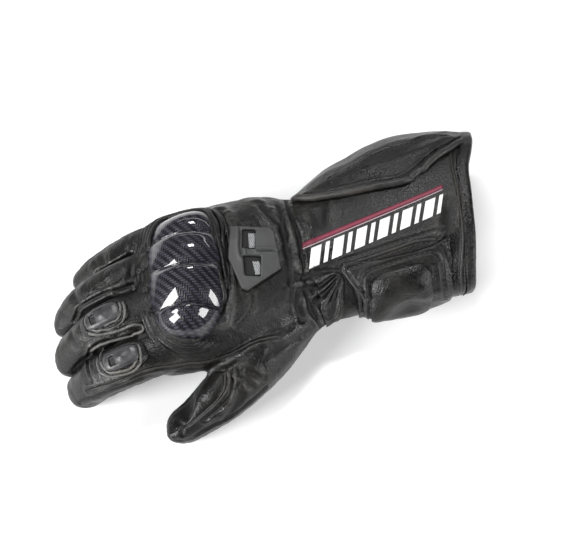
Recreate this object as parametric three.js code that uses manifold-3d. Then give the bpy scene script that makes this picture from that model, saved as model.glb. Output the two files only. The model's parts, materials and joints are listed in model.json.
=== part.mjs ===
// A right-hand leather racing glove, lying palm down as if a hand filled it.
// Millimetres, +Z up: the fingers point along -X, the thumb lies on the -Y side and the cuff opens along +X.
import * as THREE from "three";
import { mergeVertices } from "three/addons/utils/BufferGeometryUtils.js";
import Module from "manifold-3d";

const wasm = await Module();
wasm.setup();

// Driving dimensions
const wall = 2; // leather with its lining
const gap = 0.3; // clearance between neighbouring pieces
const seat = 0.6; // how far a piece laid on the leather is drawn below it before it is cut to fit
const reach = 400; // larger than the glove, for the blocks that cut it
const seamReach = 90; // half the width that the seam's surface is drawn over
const facet = 0.05; // slivers flatter than this are left out
const backLevel = 40; // above the inside of the palm, where the blocks that cut the back begin
const overrun = 12; // how far the lining's shape runs out of the mouth that it opens

// The hand and the gauntlet, in rows along x. Each row is a section: the thumb side, the crest of the back and
// the little finger side in y, then the underside, the widest level and the top in z. Slant leans the row: x
// grows by slant for each mm of y. Square is the exponent of the section's outline, where 2 is an ellipse.
const bodyRows = [
  { x: 132, slant: 0.37, thumb: -43, crest: 13, little: 49, under: 1.6, side: 33, top: 65, square: 2.2 },
  { x: 112, slant: 0.32, thumb: -43, crest: 14, little: 57, under: -2, side: 33, top: 64, square: 2.2 },
  { x: 92, slant: 0.24, thumb: -43, crest: 13, little: 62, under: -3, side: 33, top: 62, square: 2.2 },
  { x: 74, slant: 0.16, thumb: -40, crest: 12, little: 62.5, under: -2, side: 32, top: 60, square: 2.2 },
  { x: 56, slant: 0.12, thumb: -34.5, crest: 11, little: 59, under: -1, side: 31, top: 56, square: 2.2 },
  { x: 42, slant: 0.1, thumb: -32, crest: 10, little: 53, under: 1, side: 29, top: 53, square: 2.2 },
  { x: 30, slant: 0.1, thumb: -31.5, crest: 9, little: 49, under: 3, side: 27, top: 53, square: 2.25 },
  { x: 16, slant: 0.12, thumb: -33, crest: 8, little: 55, under: 5, side: 28, top: 55, square: 2.3 },
  { x: 2, slant: 0.15, thumb: -36, crest: 7, little: 58.5, under: 6, side: 29, top: 57, square: 2.35 },
  { x: -14, slant: 0.2, thumb: -38, crest: 5, little: 59.5, under: 8, side: 29, top: 59, square: 2.4 },
  { x: -32, slant: 0.25, thumb: -38, crest: 4, little: 61, under: 10, side: 29, top: 60, square: 2.4 },
  { x: -50, slant: 0.25, thumb: -36, crest: 3, little: 61, under: 13, side: 30, top: 58, square: 2.4 },
  { x: -66, slant: 0.25, thumb: -33, crest: 4, little: 58, under: 17, side: 31, top: 53, square: 2.3 },
  { x: -76, slant: 0.25, thumb: -28, crest: 6, little: 53, under: 22, side: 34, top: 47, square: 2.2 },
];

// The fingers and the thumb: joint centres from inside the hand out to the tip, then the half width and half
// height at shares of the length, and the roll of the back about the finger.
const digits = {
  index_finger: {
    joints: [[-36, -19, 37], [-60, -20, 38.6], [-96, -20.2, 34], [-112, -19, 22.5], [-120, -17.6, 10.4]],
    profile: [{ x: 0, wide: 13.5, high: 13 }, { x: 0.6, wide: 14, high: 13.4 }, { x: 1, wide: 11.6, high: 11 }],
    roll: -6,
  },
  middle_finger: {
    joints: [[-38, 2, 42], [-58, 4, 43.5], [-94, 6.4, 38], [-110, 5.6, 26], [-119.5, 3.6, 11]],
    profile: [{ x: 0, wide: 13, high: 13 }, { x: 0.6, wide: 13, high: 13 }, { x: 1, wide: 11.6, high: 11.2 }],
    roll: -2,
  },
  ring_finger: {
    joints: [[-32, 27, 39], [-52, 28.6, 41], [-87, 30.4, 34.5], [-103, 29.6, 23.5], [-112.5, 27.4, 10.6]],
    profile: [{ x: 0, wide: 12.4, high: 12.6 }, { x: 0.6, wide: 12.2, high: 12.4 }, { x: 1, wide: 11, high: 10.8 }],
    roll: 6,
  },
  little_finger: {
    joints: [[-22, 46, 34], [-42, 48.6, 34], [-72, 51, 28.5], [-87, 50.6, 20.5], [-96, 49, 9.8]],
    profile: [{ x: 0, wide: 11.6, high: 11.6 }, { x: 0.6, wide: 11.2, high: 11.2 }, { x: 1, wide: 10, high: 9.8 }],
    roll: 14,
  },
  thumb: {
    joints: [[4, -17, 27], [-7, -29, 26], [-29, -45, 23], [-53, -55.4, 17.5], [-70.6, -58.4, 11]],
    profile: [{ x: 0, wide: 24, high: 20 }, { x: 0.5, wide: 17.5, high: 16 }, { x: 1, wide: 12, high: 11.4 }],
    roll: -18,
  },
};

const digitSquare = 2.2; // exponent of a finger's section
const tubeShare = 0.76; // share of a digit's rings on its tube, the rest close its tip
const domeEnd = 76; // degrees of the tip's dome before its small flat end
const digitMesh = { sides: 14, steps: 11 };
const digitLining = { sides: 10, steps: 7 };
const bodyMesh = { sides: 26, steps: 16 };
const bodyLining = { sides: 18, steps: 11 };

// Planes that part the pieces: a point on the plane and its normal
const rootPlane = { at: [-78, 0, 40], normal: [-0.955, 0.239, -0.17] }; // hand and fingers
const thumbPlane = { at: [-27, -44, 22], normal: [-0.85, -0.5, -0.12] }; // palm and thumb
const wristPlane = { at: [26, 0, 40], normal: [1, -0.12, 0] }; // hand and gauntlet

// Seam between the back and the palm of the hand: its level along x, and its lift across y, which stands in a
// column x as well and halves the fingers at their roots
const seamRows = [
  { x: -95, z: 31 },
  { x: -60, z: 31.5 },
  { x: -35, z: 34 },
  { x: -15, z: 39 },
  { x: 10, z: 40 },
  { x: 45, z: 36 },
];
const seamLift = [
  { x: -40, z: 2 },
  { x: -20, z: 1 },
  { x: 4, z: 6 },
  { x: 28, z: 4 },
  { x: 50, z: -4 },
  { x: 64, z: -7 },
];

// The knuckle guard: across is its own axis over the knuckles, towards the little finger, and its rows give the
// finger side and the wrist side of its rim. Four humps stand between its valleys.
const guard = { centre: [-45.5, 8], across: [0.288, 0.958], edge: 2, crown: 9.5, deep: 0.3, narrow: 3.6 };
const guardValleys = [-20, 5, 26];
const guardRows = [
  { x: -39.5, front: -3, back: 5 },
  { x: -36, front: -8.5, back: 10.5 },
  { x: -29, front: -14, back: 14.8 },
  { x: -20, front: -17.6, back: 16.6 },
  { x: -8, front: -20.4, back: 17.2 },
  { x: 5, front: -21, back: 17 },
  { x: 16, front: -22.4, back: 17 },
  { x: 26, front: -21.3, back: 16.6 },
  { x: 36, front: -19.3, back: 15.2 },
  { x: 43, front: -13.6, back: 11.4 },
  { x: 48.5, front: -4, back: 4.5 },
];
// The padded welt round the guard: where it starts and its width at the front, the back and the two ends
const surround = { inner: 1.1, front: 11, back: 6.5, end: 4.5, high: 5.2, low: 0.8 };

// Pieces in plan, as points round their outlines
const plateOutline = [
  [-10, 32.4],
  [-18.2, 12.4],
  [-17, -8],
  [-14, -10.2],
  [9.4, -2.6],
  [13.6, 20.5],
  [12.4, 24.4],
];
const plateWindows = {
  vent_mesh_upper: [[-4, 28.4], [3.6, 25.6], [-0.9, 13.2], [-8.5, 16]],
  vent_mesh_lower: [[-9.4, 11.4], [0.6, 7.8], [-3.8, -4.4], [-12.6, -1.2]],
};
const plateHigh = 2.6;
const meshHigh = 1.2;
const meshInset = 0.6; // from each corner of a window

// Pads on the digits: where along the line, the angle from the back, half length and half width in mm, and the
// heights of the middle and the rim
const padSquare = 3; // exponent of a pad's outline
const pads = {
  index_pad: { digit: "index_finger", share: 0.585, angle: 2, long: 13, wide: 7.6, high: 2.4, low: 0.7 },
  middle_pad: { digit: "middle_finger", share: 0.585, angle: 2, long: 13, wide: 7.8, high: 2.4, low: 0.7 },
  ring_pad: { digit: "ring_finger", share: 0.56, angle: 2, long: 11, wide: 7, high: 2.6, low: 0.7 },
  thumb_pad: { digit: "thumb", share: 0.76, angle: -14, long: 20, wide: 11, high: 2, low: 0.7 },
};
const sliders = {
  index_slider: { pad: "index_pad", long: 8.4, wide: 4.4, high: 2, low: 0.9 },
  middle_slider: { pad: "middle_pad", long: 8.6, wide: 4.4, high: 2, low: 0.9 },
};

// Pieces wrapped round the gauntlet: rows at stations along x, with the edge angles from the crest in degrees,
// positive towards the little finger
const flapRows = [
  { x: 28, from: 54, to: 66 },
  { x: 33, from: 45, to: 104 },
  { x: 40, from: 33, to: 122 },
  { x: 60, from: 20, to: 124 },
  { x: 76, from: 13.5, to: 124 },
  { x: 92, from: 10, to: 124 },
  { x: 110, from: 20, to: 122 },
  { x: 124.4, from: 36, to: 118 },
];
const flap = { thick: 2.4, edge: 1 };
const strapRows = [
  { x: 45.5, from: -24, to: -38 },
  { x: 49, from: -25, to: -72 },
  { x: 54, from: -28, to: -124 },
  { x: 66, from: -31, to: -126 },
  { x: 84, from: -33, to: -126 },
  { x: 98, from: -34, to: -126 },
  { x: 110, from: -33, to: -124 },
  { x: 116, from: -31, to: -122 },
];
const strap = { thick: 2.2, edge: 1.3 };
const strapPad = { x: 80.5, angle: -73, long: 22.5, turn: 33, high: 3.8, low: 0.9, square: 4 };
const gatherRows = [
  { x: 28, from: -30, to: -92 },
  { x: 36, from: -27, to: -84 },
  { x: 44, from: -34, to: -40 },
];
const gather = { folds: 5, deep: 0.6, thick: 2.4, edge: 1 };
const binding = { from: 125, over: 1.5, end: 2, lining: 1.4 };

// Shape of a domed pad: radius, and share of the rise from its rim to its middle
const dome = [
  { radius: 0, rise: 1 },
  { radius: 0.66, rise: 0.96 },
  { radius: 0.88, rise: 0.55 },
  { radius: 1, rise: 0 },
];

// A smooth value of one column of a table at x, for rows sorted along x either way
function columnAt(rows, key, x) {
  const up = rows[0].x < rows.at(-1).x ? rows : rows.toReversed();
  const at = THREE.MathUtils.clamp(x, up[0].x, up.at(-1).x);
  const i = Math.max(0, up.findIndex((row) => row.x >= at) - 1);
  const slope = (k) => {
    const a = up[Math.max(k - 1, 0)];
    const b = up[Math.min(k + 1, up.length - 1)];
    return (b[key] - a[key]) / (b.x - a.x);
  };
  const step = up[i + 1].x - up[i].x;
  const t = (at - up[i].x) / step;
  const rise = t * t * (3 - 2 * t);
  const ends = up[i][key] * (1 - rise) + up[i + 1][key] * rise;
  return ends + step * (t * (1 - t) ** 2 * slope(i) - t * t * (1 - t) * slope(i + 1));
}

const power = (value, exponent) => Math.sign(value) * Math.abs(value) ** exponent;
const { degToRad: radians, lerp, clamp } = THREE.MathUtils;

// A point of the hand or gauntlet, at an angle from the crest towards the little finger. Grow moves it
// outwards, and floor is the lowest level that it may take.
function bodyPoint(x, angle, grow = 0, radius = 1, floor = -grow) {
  const row = (key) => columnAt(bodyRows, key, x);
  const [side, rise] = [Math.sin(angle), Math.cos(angle)];
  const [crest, level, bend] = [row("crest"), row("side"), 2 / row("square")];
  const across = side > 0 ? row("little") - crest : crest - row("thumb");
  const height = rise > 0 ? row("top") - level : level - row("under");
  const y = crest + radius * (across + grow) * power(side, bend);
  const z = level + radius * (height + grow) * power(rise, bend);
  return new THREE.Vector3(x + row("slant") * y, y, Math.max(z, floor));
}

// The same surface by its place in plan, for what lies on the back of the hand
function backPoint(x, y, grow) {
  let station = x;
  for (let i = 0; i < 4; i++) station = x - columnAt(bodyRows, "slant", station) * y;
  const row = (key) => columnAt(bodyRows, key, station);
  const across = y > row("crest") ? row("little") - row("crest") : row("crest") - row("thumb");
  const share = clamp((y - row("crest")) / across, -0.97, 0.97);
  const angle = Math.asin(power(share, row("square") / 2));
  return new THREE.Vector3(x, y, bodyPoint(station, angle, grow).z);
}

// The line of a digit, with the direction of its back at any share of its length
function digitLine(digit) {
  const points = digit.joints.map((p) => new THREE.Vector3(...p));
  const curve = new THREE.CatmullRomCurve3(points, false, "centripetal");
  digit.length = curve.getLength();
  return (share) => {
    const along = curve.getTangentAt(share);
    const back = new THREE.Vector3(0, 0, 1).addScaledVector(along, -along.z).normalize();
    back.applyAxisAngle(along, radians(digit.roll));
    return { at: curve.getPointAt(share), along, back, side: along.clone().cross(back) };
  };
}
for (const digit of Object.values(digits)) digit.line = digitLine(digit);

// A point of a digit's skin: share runs along its line, then tip from 0 to 1 round the dome at its end
function digitPoint(digit, share, tip, angle, grow = 0, radius = 1, floor = -grow) {
  const { at, along, back, side } = digit.line(share);
  const wide = columnAt(digit.profile, "wide", share) + grow;
  const high = columnAt(digit.profile, "high", share) + grow;
  const turn = radians(domeEnd) * tip;
  const bend = 2 / digitSquare;
  const shrink = radius * Math.cos(turn) ** 0.8;
  const p = at.clone().addScaledVector(along, high * Math.sin(turn));
  p.addScaledVector(side, shrink * wide * power(Math.sin(angle), bend));
  p.addScaledVector(back, shrink * high * power(Math.cos(angle), bend));
  return p.setZ(Math.max(p.z, floor));
}

// A closed three.js geometry, each vertex moved by shape, as a solid to cut and join
function solid(geometry, shape = (p) => p) {
  geometry.deleteAttribute("normal");
  geometry.deleteAttribute("uv");
  const merged = mergeVertices(geometry, 1e-4);
  const position = merged.getAttribute("position");
  const p = new THREE.Vector3();
  for (let i = 0; i < position.count; i++) {
    const moved = shape(p.fromBufferAttribute(position, i).clone());
    position.setXYZ(i, moved.x, moved.y, moved.z);
  }
  const corners = [];
  for (let i = 0; i < merged.index.count; i += 3) {
    const [a, b, c] = merged.index.array.subarray(i, i + 3);
    if (a !== b && b !== c && c !== a) corners.push(a, b, c);
  }
  const make = (triangles) => {
    const mesh = { numProp: 3, vertProperties: position.array, triVerts: new Uint32Array(triangles) };
    return new wasm.Manifold(new wasm.Mesh(mesh));
  };
  const made = make(corners);
  return made.volume() > 0 ? made : make(corners.reverse());
}

// A closed tube: shape gets its angle, its share along and its radius, which is 0 at the middle of an end
function tube({ sides, steps }, shape) {
  return solid(new THREE.CylinderGeometry(1, 1, 1, sides, steps), (p) =>
    shape(Math.atan2(p.x, p.z), p.y + 0.5, Math.hypot(p.x, p.z)),
  );
}

function bodyTube(mesh, grow, from = bodyRows[0].x, to = bodyRows.at(-1).x, floor = -grow) {
  return tube(mesh, (angle, share, radius) => bodyPoint(lerp(from, to, share), angle, grow, radius, floor));
}

function digitTube(digit, { sides, steps }, grow) {
  return tube({ sides, steps }, (angle, share, radius) => {
    const [along, tip] = [Math.min(share / tubeShare, 1), Math.max(share - tubeShare, 0) / (1 - tubeShare)];
    return digitPoint(digit, along, tip, angle, grow, radius);
  });
}

// The part of a body on the far side of a plane, or on the near side, half a gap away from it
function beyond(body, { at, normal }) {
  const along = new THREE.Vector3(...normal).normalize();
  return body.trimByPlane(along.toArray(), along.dot(new THREE.Vector3(...at)) + gap / 2);
}
function before(body, { at, normal }) {
  const along = new THREE.Vector3(...normal).normalize().negate();
  return body.trimByPlane(along.toArray(), along.dot(new THREE.Vector3(...at)) + gap / 2);
}

const joined = (bodies) => bodies.reduce((whole, body) => whole.add(body));

// An upright block with a plan outline
function prismGeometry(outline, depth, steps) {
  const shape = new THREE.Shape(outline.map(([x, y]) => new THREE.Vector2(x, y)));
  return new THREE.ExtrudeGeometry(shape, { depth, steps, bevelEnabled: false });
}
const prism = (outline, from) => solid(prismGeometry(outline, reach, 1).translate(0, 0, from));

// A domed pad: rings of [radius, height] from its middle to its rim, closed below. Place puts a ring's point.
function cushion(segments, rings, place, under = -seat) {
  const profile = [...rings, [1, under], [0, under]].map(([radius, level]) => new THREE.Vector2(radius, level));
  profile[0].x = 0;
  return solid(new THREE.LatheGeometry(profile, segments), (p) =>
    place(Math.atan2(p.x, p.z), Math.hypot(p.x, p.z), p.y),
  );
}

const domeRings = (low, high) => dome.map(({ radius, rise }) => [radius, lerp(low, high, rise)]);

// A point on the rim of a rounded oblong of half length 1 and half width 1
const oblong = (angle, square) => [power(Math.cos(angle), 2 / square), power(Math.sin(angle), 2 / square)];

// A sheet of columns by bands: place gets both shares and whether the point is on the top or the rim
function sheet(columns, bands, place) {
  return solid(new THREE.BoxGeometry(1, 1, 1, columns, bands, 1), (p) => {
    const inside = Math.max(Math.abs(p.x), Math.abs(p.y)) < 0.499;
    return place(p.x + 0.5, p.y + 0.5, p.z > 0, p.z > 0 && inside);
  });
}

// A sheet wrapped on the gauntlet between the two edges of its rows, thinned at its rim
function wrap(rows, { thick, edge, folds = 0, deep = 0 }, columns, bands) {
  return sheet(columns, bands, (u, v, top, inside) => {
    const x = lerp(rows[0].x, rows.at(-1).x, u);
    const angle = lerp(columnAt(rows, "from", x), columnAt(rows, "to", x), v);
    const fold = 1 - (deep / 2) * (1 - Math.cos(2 * Math.PI * folds * v));
    return bodyPoint(x, radians(angle), top ? gap + (inside ? thick * fold : edge) : -seat, 1, 0);
  });
}

// Everything above the seam between the back and the palm, lifted by a little
function aboveSeam(lift) {
  const line = [{ x: -reach, z: seamRows[0].z }, ...seamRows, { x: reach, z: seamRows.at(-1).z }];
  const outline = [...line.map(({ x, z }) => [x, z]), [reach, reach], [-reach, reach]];
  return solid(prismGeometry(outline, 2 * seamReach, 12), (p) => {
    const y = seamReach - p.z;
    return new THREE.Vector3(p.x, y, p.y + lift + columnAt(seamLift, "z", y));
  });
}

const names = Object.keys(digits);
const fingers = names.filter((name) => name !== "thumb");
const outer = {};
const inner = {};
const skin = {}; // each digit's outside with a gap round it
for (const name of names) {
  outer[name] = digitTube(digits[name], digitMesh, 0);
  inner[name] = digitTube(digits[name], digitLining, -wall);
  skin[name] = digitTube(digits[name], digitMesh, gap);
}
const bodyOuter = bodyTube(bodyMesh, 0);
const mouth = bodyRows[0].x;
const toe = bodyRows.at(-1).x;
const lining = (grow) => bodyTube(bodyLining, grow, mouth + overrun, toe + wall);
const bodyInner = lining(-wall);
const bodySkin = bodyTube(bodyMesh, gap, mouth + gap, toe - gap);
const gloveSkin = joined([bodySkin, ...Object.values(skin)]);

const parts = {};

// Finger sheaths, each clear of the one beside it
fingers.forEach((name, i) => {
  const sheath = beyond(outer[name].subtract(inner[name]), rootPlane);
  parts[name] = i ? sheath.subtract(skin[fingers[i - 1]]) : sheath;
});
const thumbSheath = beyond(outer.thumb.subtract(inner.thumb), thumbPlane);
parts.thumb = thumbSheath.subtract(bodySkin).subtract(skin.index_finger);

// The hand, in its back and its palm, and the gauntlet
const handOuter = joined([bodyOuter, ...fingers.map((name) => outer[name]), before(outer.thumb, thumbPlane)]);
const handInner = joined([bodyInner, ...Object.values(inner)]);
const shell = handOuter.subtract(handInner);
const hand = before(before(shell, rootPlane), wristPlane);
parts.hand_back = hand.intersect(aboveSeam(gap / 2));
parts.hand_palm = hand.subtract(aboveSeam(-gap / 2));
parts.gauntlet = beyond(shell, wristPlane);

// The knuckle guard and the padded welt round it
const [axisX, axisY] = guard.across;
function guardPoint(u, v, level) {
  const x = guard.centre[0] + u * axisX + v * axisY;
  const y = guard.centre[1] + u * axisY - v * axisX;
  return new THREE.Vector3(x, y, backPoint(x, y, 0).z + level);
}
const guardBody = sheet(24, 6, (along, share, top, inside) => {
  const u = lerp(guardRows[0].x, guardRows.at(-1).x, along);
  const v = lerp(columnAt(guardRows, "front", u), columnAt(guardRows, "back", u), share);
  const valley = guardValleys.reduce((sum, at) => sum + Math.exp(-(((u - at) / guard.narrow) ** 2)), 0);
  const crown = Math.sin(Math.PI * share) ** 0.7 * Math.sin(Math.PI * along) ** 0.45;
  const level = guard.edge + (inside ? guard.crown * crown * (1 - guard.deep * valley) : 0);
  return guardPoint(u, v, top ? level : -seat);
});
parts.knuckle_guard = guardBody.subtract(gloveSkin);
const rimPoints = [
  ...guardRows.map((row) => new THREE.Vector3(row.x, row.front, 0)),
  ...guardRows.toReversed().map((row) => new THREE.Vector3(row.x, row.back, 0)),
];
const rim = new THREE.CatmullRomCurve3(rimPoints, true);
const weltRings = [
  [1, -seat],
  [2, -seat],
  [2, surround.low],
  [1.6, surround.high * 0.6],
  [1.2, surround.high],
  [1, surround.high * 0.7],
  [1, -seat],
];
const welt = new THREE.LatheGeometry(weltRings.map(([radius, level]) => new THREE.Vector2(radius, level)), 28);
parts.knuckle_surround = solid(welt, (p) => {
  const turn = Math.atan2(p.x, p.z) / (2 * Math.PI) + 0.5;
  const edge = rim.getPointAt(turn);
  const along = rim.getTangentAt(turn);
  const side = along.x > 0 ? surround.front : surround.back;
  const width = lerp(side, surround.end, along.y ** 2);
  const offset = lerp(surround.inner, width, Math.hypot(p.x, p.z) - 1);
  return guardPoint(edge.x + along.y * offset, edge.y - along.x * offset, p.y);
}).subtract(gloveSkin);

// The plate behind the guard, with a mesh in each of its two windows
const layer = (high) => bodyTube(bodyMesh, gap + high).subtract(gloveSkin);
const windows = Object.entries(plateWindows);
parts.back_plate = layer(plateHigh).intersect(prism(plateOutline, backLevel));
for (const [name, outline] of windows) {
  parts.back_plate = parts.back_plate.subtract(prism(outline, backLevel));
  const corners = outline.map(([x, y]) => new THREE.Vector2(x, y));
  const centre = corners.reduce((sum, p) => sum.addScaledVector(p, 1 / corners.length), new THREE.Vector2());
  const inset = corners.map((p) => p.lerp(centre, meshInset / p.distanceTo(centre)).toArray());
  parts[name] = layer(meshHigh).intersect(prism(inset, backLevel));
}

// Pads on the digits, and the hard sliders on two of them
const padPoint = (pad, angle, radius, level, stretch) => {
  const digit = digits[pad.digit];
  const [u, v] = oblong(angle, padSquare).map((value) => value * radius);
  const share = pad.share + (u * stretch.long) / digit.length;
  const wide = columnAt(digit.profile, "wide", pad.share);
  return digitPoint(digit, share, 0, radians(pad.angle) + (v * stretch.wide) / wide, level, 1, 0);
};
for (const [name, pad] of Object.entries(pads)) {
  const body = cushion(18, domeRings(pad.low, pad.high), (...ring) => padPoint(pad, ...ring, pad));
  parts[name] = body.subtract(gloveSkin);
}
for (const [name, slider] of Object.entries(sliders)) {
  const pad = pads[slider.pad];
  const rings = domeRings(pad.high + slider.low, pad.high + slider.high);
  parts[name] = cushion(18, rings, (...ring) => padPoint(pad, ...ring, slider), pad.high + gap);
}

// The flap, the strap and the gathered patch on the gauntlet, and the pad on the strap
parts.gauntlet_flap = wrap(flapRows, flap, 12, 6).subtract(gloveSkin);
parts.closure_strap = wrap(strapRows, strap, 12, 7).subtract(gloveSkin);
const strapTop = gap + strap.thick;
const strapSkin = wrap(strapRows, { thick: strapTop, edge: strapTop }, 12, 7);
parts.wrist_gather = wrap(gatherRows, gather, 4, 2 * gather.folds).subtract(gloveSkin).subtract(strapSkin);
const strapPadRings = domeRings(strapTop + strapPad.low, strapTop + strapPad.high);
const strapPadPoint = (angle, radius, level) => {
  const [u, v] = oblong(angle, strapPad.square).map((value) => value * radius);
  return bodyPoint(strapPad.x + u * strapPad.long, radians(strapPad.angle + v * strapPad.turn), level, 1, 0);
};
const strapPadBody = cushion(20, strapPadRings, strapPadPoint, strapTop - seat);
parts.strap_pad = strapPadBody.subtract(strapSkin);

// The binding folded over the mouth of the gauntlet
const hoop = (grow, end, from) => bodyTube({ sides: bodyMesh.sides, steps: 1 }, grow, mouth + end, from, 0);
const bindingOuter = hoop(gap + binding.over, binding.end, binding.from);
const gauntletWall = bodySkin.subtract(lining(-wall - gap));
parts.cuff_binding = bindingOuter.subtract(lining(-wall - gap - binding.lining)).subtract(gauntletWall);

// Each piece as a mesh, in its own leather or hard material
const leather = { color: 0x1b1b1c, roughness: 0.5, metalness: 0 };
const finishes = {
  knuckle_guard: { color: 0x24242c, roughness: 0.12, metalness: 0.2 },
  back_plate: { color: 0x545456, roughness: 0.55, metalness: 0 },
  vent_mesh_upper: { color: 0xb8babd, roughness: 0.4, metalness: 0.6 },
  vent_mesh_lower: { color: 0xb8babd, roughness: 0.4, metalness: 0.6 },
  index_slider: { color: 0x2a2a2c, roughness: 0.35, metalness: 0 },
  middle_slider: { color: 0x2a2a2c, roughness: 0.35, metalness: 0 },
};
const largest = (bodies) => bodies.reduce((best, body) => (body.volume() > best.volume() ? body : best));
const meshes = Object.entries(parts).map(([name, body]) => {
  const { vertProperties, triVerts } = largest(body.simplify(facet).decompose()).getMesh();
  const geometry = new THREE.BufferGeometry();
  geometry.setAttribute("position", new THREE.BufferAttribute(vertProperties, 3));
  geometry.setIndex(new THREE.BufferAttribute(triVerts, 1));
  const mesh = new THREE.Mesh(geometry, new THREE.MeshStandardMaterial(finishes[name] ?? leather));
  mesh.name = name;
  return mesh;
});
const glove = new THREE.Group().add(...meshes);

// The glove stands centred over the origin, with its lowest point at zero
const bounds = new THREE.Box3().setFromObject(glove, true);
const middle = bounds.getCenter(new THREE.Vector3());
for (const { geometry } of meshes) {
  geometry.translate(-middle.x, -middle.y, -bounds.min.z);
  geometry.computeVertexNormals();
}

export default glove;
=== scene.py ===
# A black leather race glove for the right hand, palm down on a pale floor
import json
import math
import bpy
import bmesh
import numpy as np
from mathutils import Matrix, Vector
from mathutils.bvhtree import BVHTree

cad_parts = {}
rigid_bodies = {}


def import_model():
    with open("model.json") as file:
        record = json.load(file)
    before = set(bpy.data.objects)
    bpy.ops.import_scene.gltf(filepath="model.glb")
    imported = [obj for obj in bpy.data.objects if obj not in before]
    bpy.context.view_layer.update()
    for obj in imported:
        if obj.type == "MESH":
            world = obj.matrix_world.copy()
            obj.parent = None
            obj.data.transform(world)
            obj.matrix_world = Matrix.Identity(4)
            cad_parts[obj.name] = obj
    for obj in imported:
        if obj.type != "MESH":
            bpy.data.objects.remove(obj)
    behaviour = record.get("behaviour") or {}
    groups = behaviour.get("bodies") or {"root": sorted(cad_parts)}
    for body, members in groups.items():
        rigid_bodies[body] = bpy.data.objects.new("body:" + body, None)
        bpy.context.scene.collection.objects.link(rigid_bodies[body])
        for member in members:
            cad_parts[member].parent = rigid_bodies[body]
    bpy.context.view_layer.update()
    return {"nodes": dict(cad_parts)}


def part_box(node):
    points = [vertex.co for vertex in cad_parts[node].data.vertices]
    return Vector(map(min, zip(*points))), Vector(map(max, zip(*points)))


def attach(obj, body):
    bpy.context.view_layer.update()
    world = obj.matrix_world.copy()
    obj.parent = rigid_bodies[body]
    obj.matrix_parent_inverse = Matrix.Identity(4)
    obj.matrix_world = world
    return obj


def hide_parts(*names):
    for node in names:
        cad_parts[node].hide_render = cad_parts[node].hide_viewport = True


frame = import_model()
mm = 0.001
floorGap = 0.15  # mm that every piece keeps over the floor
pieces = {}  # finished pieces by name

# studio: where the camera stands round the glove, in degrees and mm
studio = dict(azimuth=-20, elevation=66, distance=1100, target=(4, 4.1, 32.8), lens=115, sensor=36,
              photoWide=575, photoHigh=553)


def cameraAxes():
    turn, tilt = math.radians(studio["azimuth"]), math.radians(studio["elevation"])
    right = Vector((math.cos(turn), math.sin(turn), 0))
    back = Vector((math.sin(turn) * math.cos(tilt), -math.cos(turn) * math.cos(tilt), math.sin(tilt)))
    return right, back.cross(right), back


right, above, back = cameraAxes()
eye = Vector(studio["target"]) + back * studio["distance"]
pixelSize = studio["sensor"] / studio["lens"] / studio["photoWide"]  # as a share of the distance
midX, midY = studio["photoWide"] / 2, studio["photoHigh"] / 2


def toPhoto(points):  # the photograph's pixels at which the camera sees points
    away = points - np.array(eye)
    depth = -(away @ np.array(back)) * pixelSize
    return (away @ np.array(right)) / depth + midX, midY - (away @ np.array(above)) / depth


def sightLine(px, py):  # from the camera through a pixel of the photograph
    return (right * ((px - midX) * pixelSize) - above * ((py - midY) * pixelSize) - back).normalized()


# small maths on arrays of points, in mm
def ease(low, high, value):
    t = np.clip((value - low) / (high - low), 0, 1)
    return t * t * (3 - 2 * t)


def mound(value, width):
    return np.exp(-(value / width) ** 2)


scramble = dict(axes=(73856093, 19349663, 83492791), seed=7919, factor=1274126177, shift=17.3)


def cloud(points, size, seed):  # smooth noise from -1 to 1, with lumps of a size in mm
    place = points / size + scramble["shift"] * seed
    cell = np.floor(place).astype(np.int64)
    part = place - cell
    part = part * part * (3 - 2 * part)
    total = np.zeros(len(points))
    for corner in range(8):
        step = np.array([corner & 1, corner >> 1 & 1, corner >> 2 & 1])
        key = ((cell + step) * np.array(scramble["axes"])).sum(1) + scramble["seed"] * seed
        key = (key ^ (key >> 13)) * scramble["factor"] & 0x7FFFFFFF
        key = (key ^ (key >> 15)) & 0xFFFF
        total += np.prod(np.where(step, part, 1 - part), axis=1) * (key / 32767.5 - 1)
    return total


def creases(points, size, seed):  # thin sunken lines between soft lumps, from 0 to 1
    return (1 - np.abs(cloud(points, size, seed))) ** 6


def worn(points, lumps, wrinkles):  # used leather: the height and the size of its lumps and of its creases
    return lumps[0] * cloud(points, lumps[1], 6) - wrinkles[0] * creases(points, wrinkles[1], 7)


def gathered(share, amount):  # shares from 0 to 1 that crowd towards both ends
    return (1 - amount) * share + amount * (1 - np.cos(math.pi * share)) / 2


def nearLine(points, line):  # distance to a line of points, and how far along it
    distance = np.full(len(points), np.inf)
    along = np.zeros(len(points))
    run = 0
    for a, b in zip(line[:-1], line[1:]):
        step = b - a
        length = np.linalg.norm(step)
        t = np.clip((points - a) @ step / length ** 2, 0, 1)
        away = np.linalg.norm(points - a - t[:, None] * step, axis=1)
        closer = away < distance
        distance[closer] = away[closer]
        along[closer] = run + t[closer] * length
        run += length
    return distance, along


def lengths(line):  # how far along a line each of its points is
    return np.r_[0, np.cumsum(np.linalg.norm(np.diff(line, axis=0), axis=1))]


def curveThrough(points, step=1.5):  # a smooth line through a few points, with a point every few mm
    points = [np.array(p, float) for p in points]
    ends = [2 * points[0] - points[1], *points, 2 * points[-1] - points[-2]]
    line = []
    for a, b, c, d in zip(ends, ends[1:], ends[2:], ends[3:]):
        count = max(2, int(np.linalg.norm(c - b) / step))
        for i in range(count):
            t = i / count
            line.append(b + 0.5 * t * (c - a + t * (2 * a - 5 * b + 4 * c - d + t * (3 * (b - c) + d - a))))
    return np.array([*line, points[-1]])


# meshes
def addObject(name, data):
    obj = bpy.data.objects.new(name, data)
    bpy.context.collection.objects.link(obj)
    return obj


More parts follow.
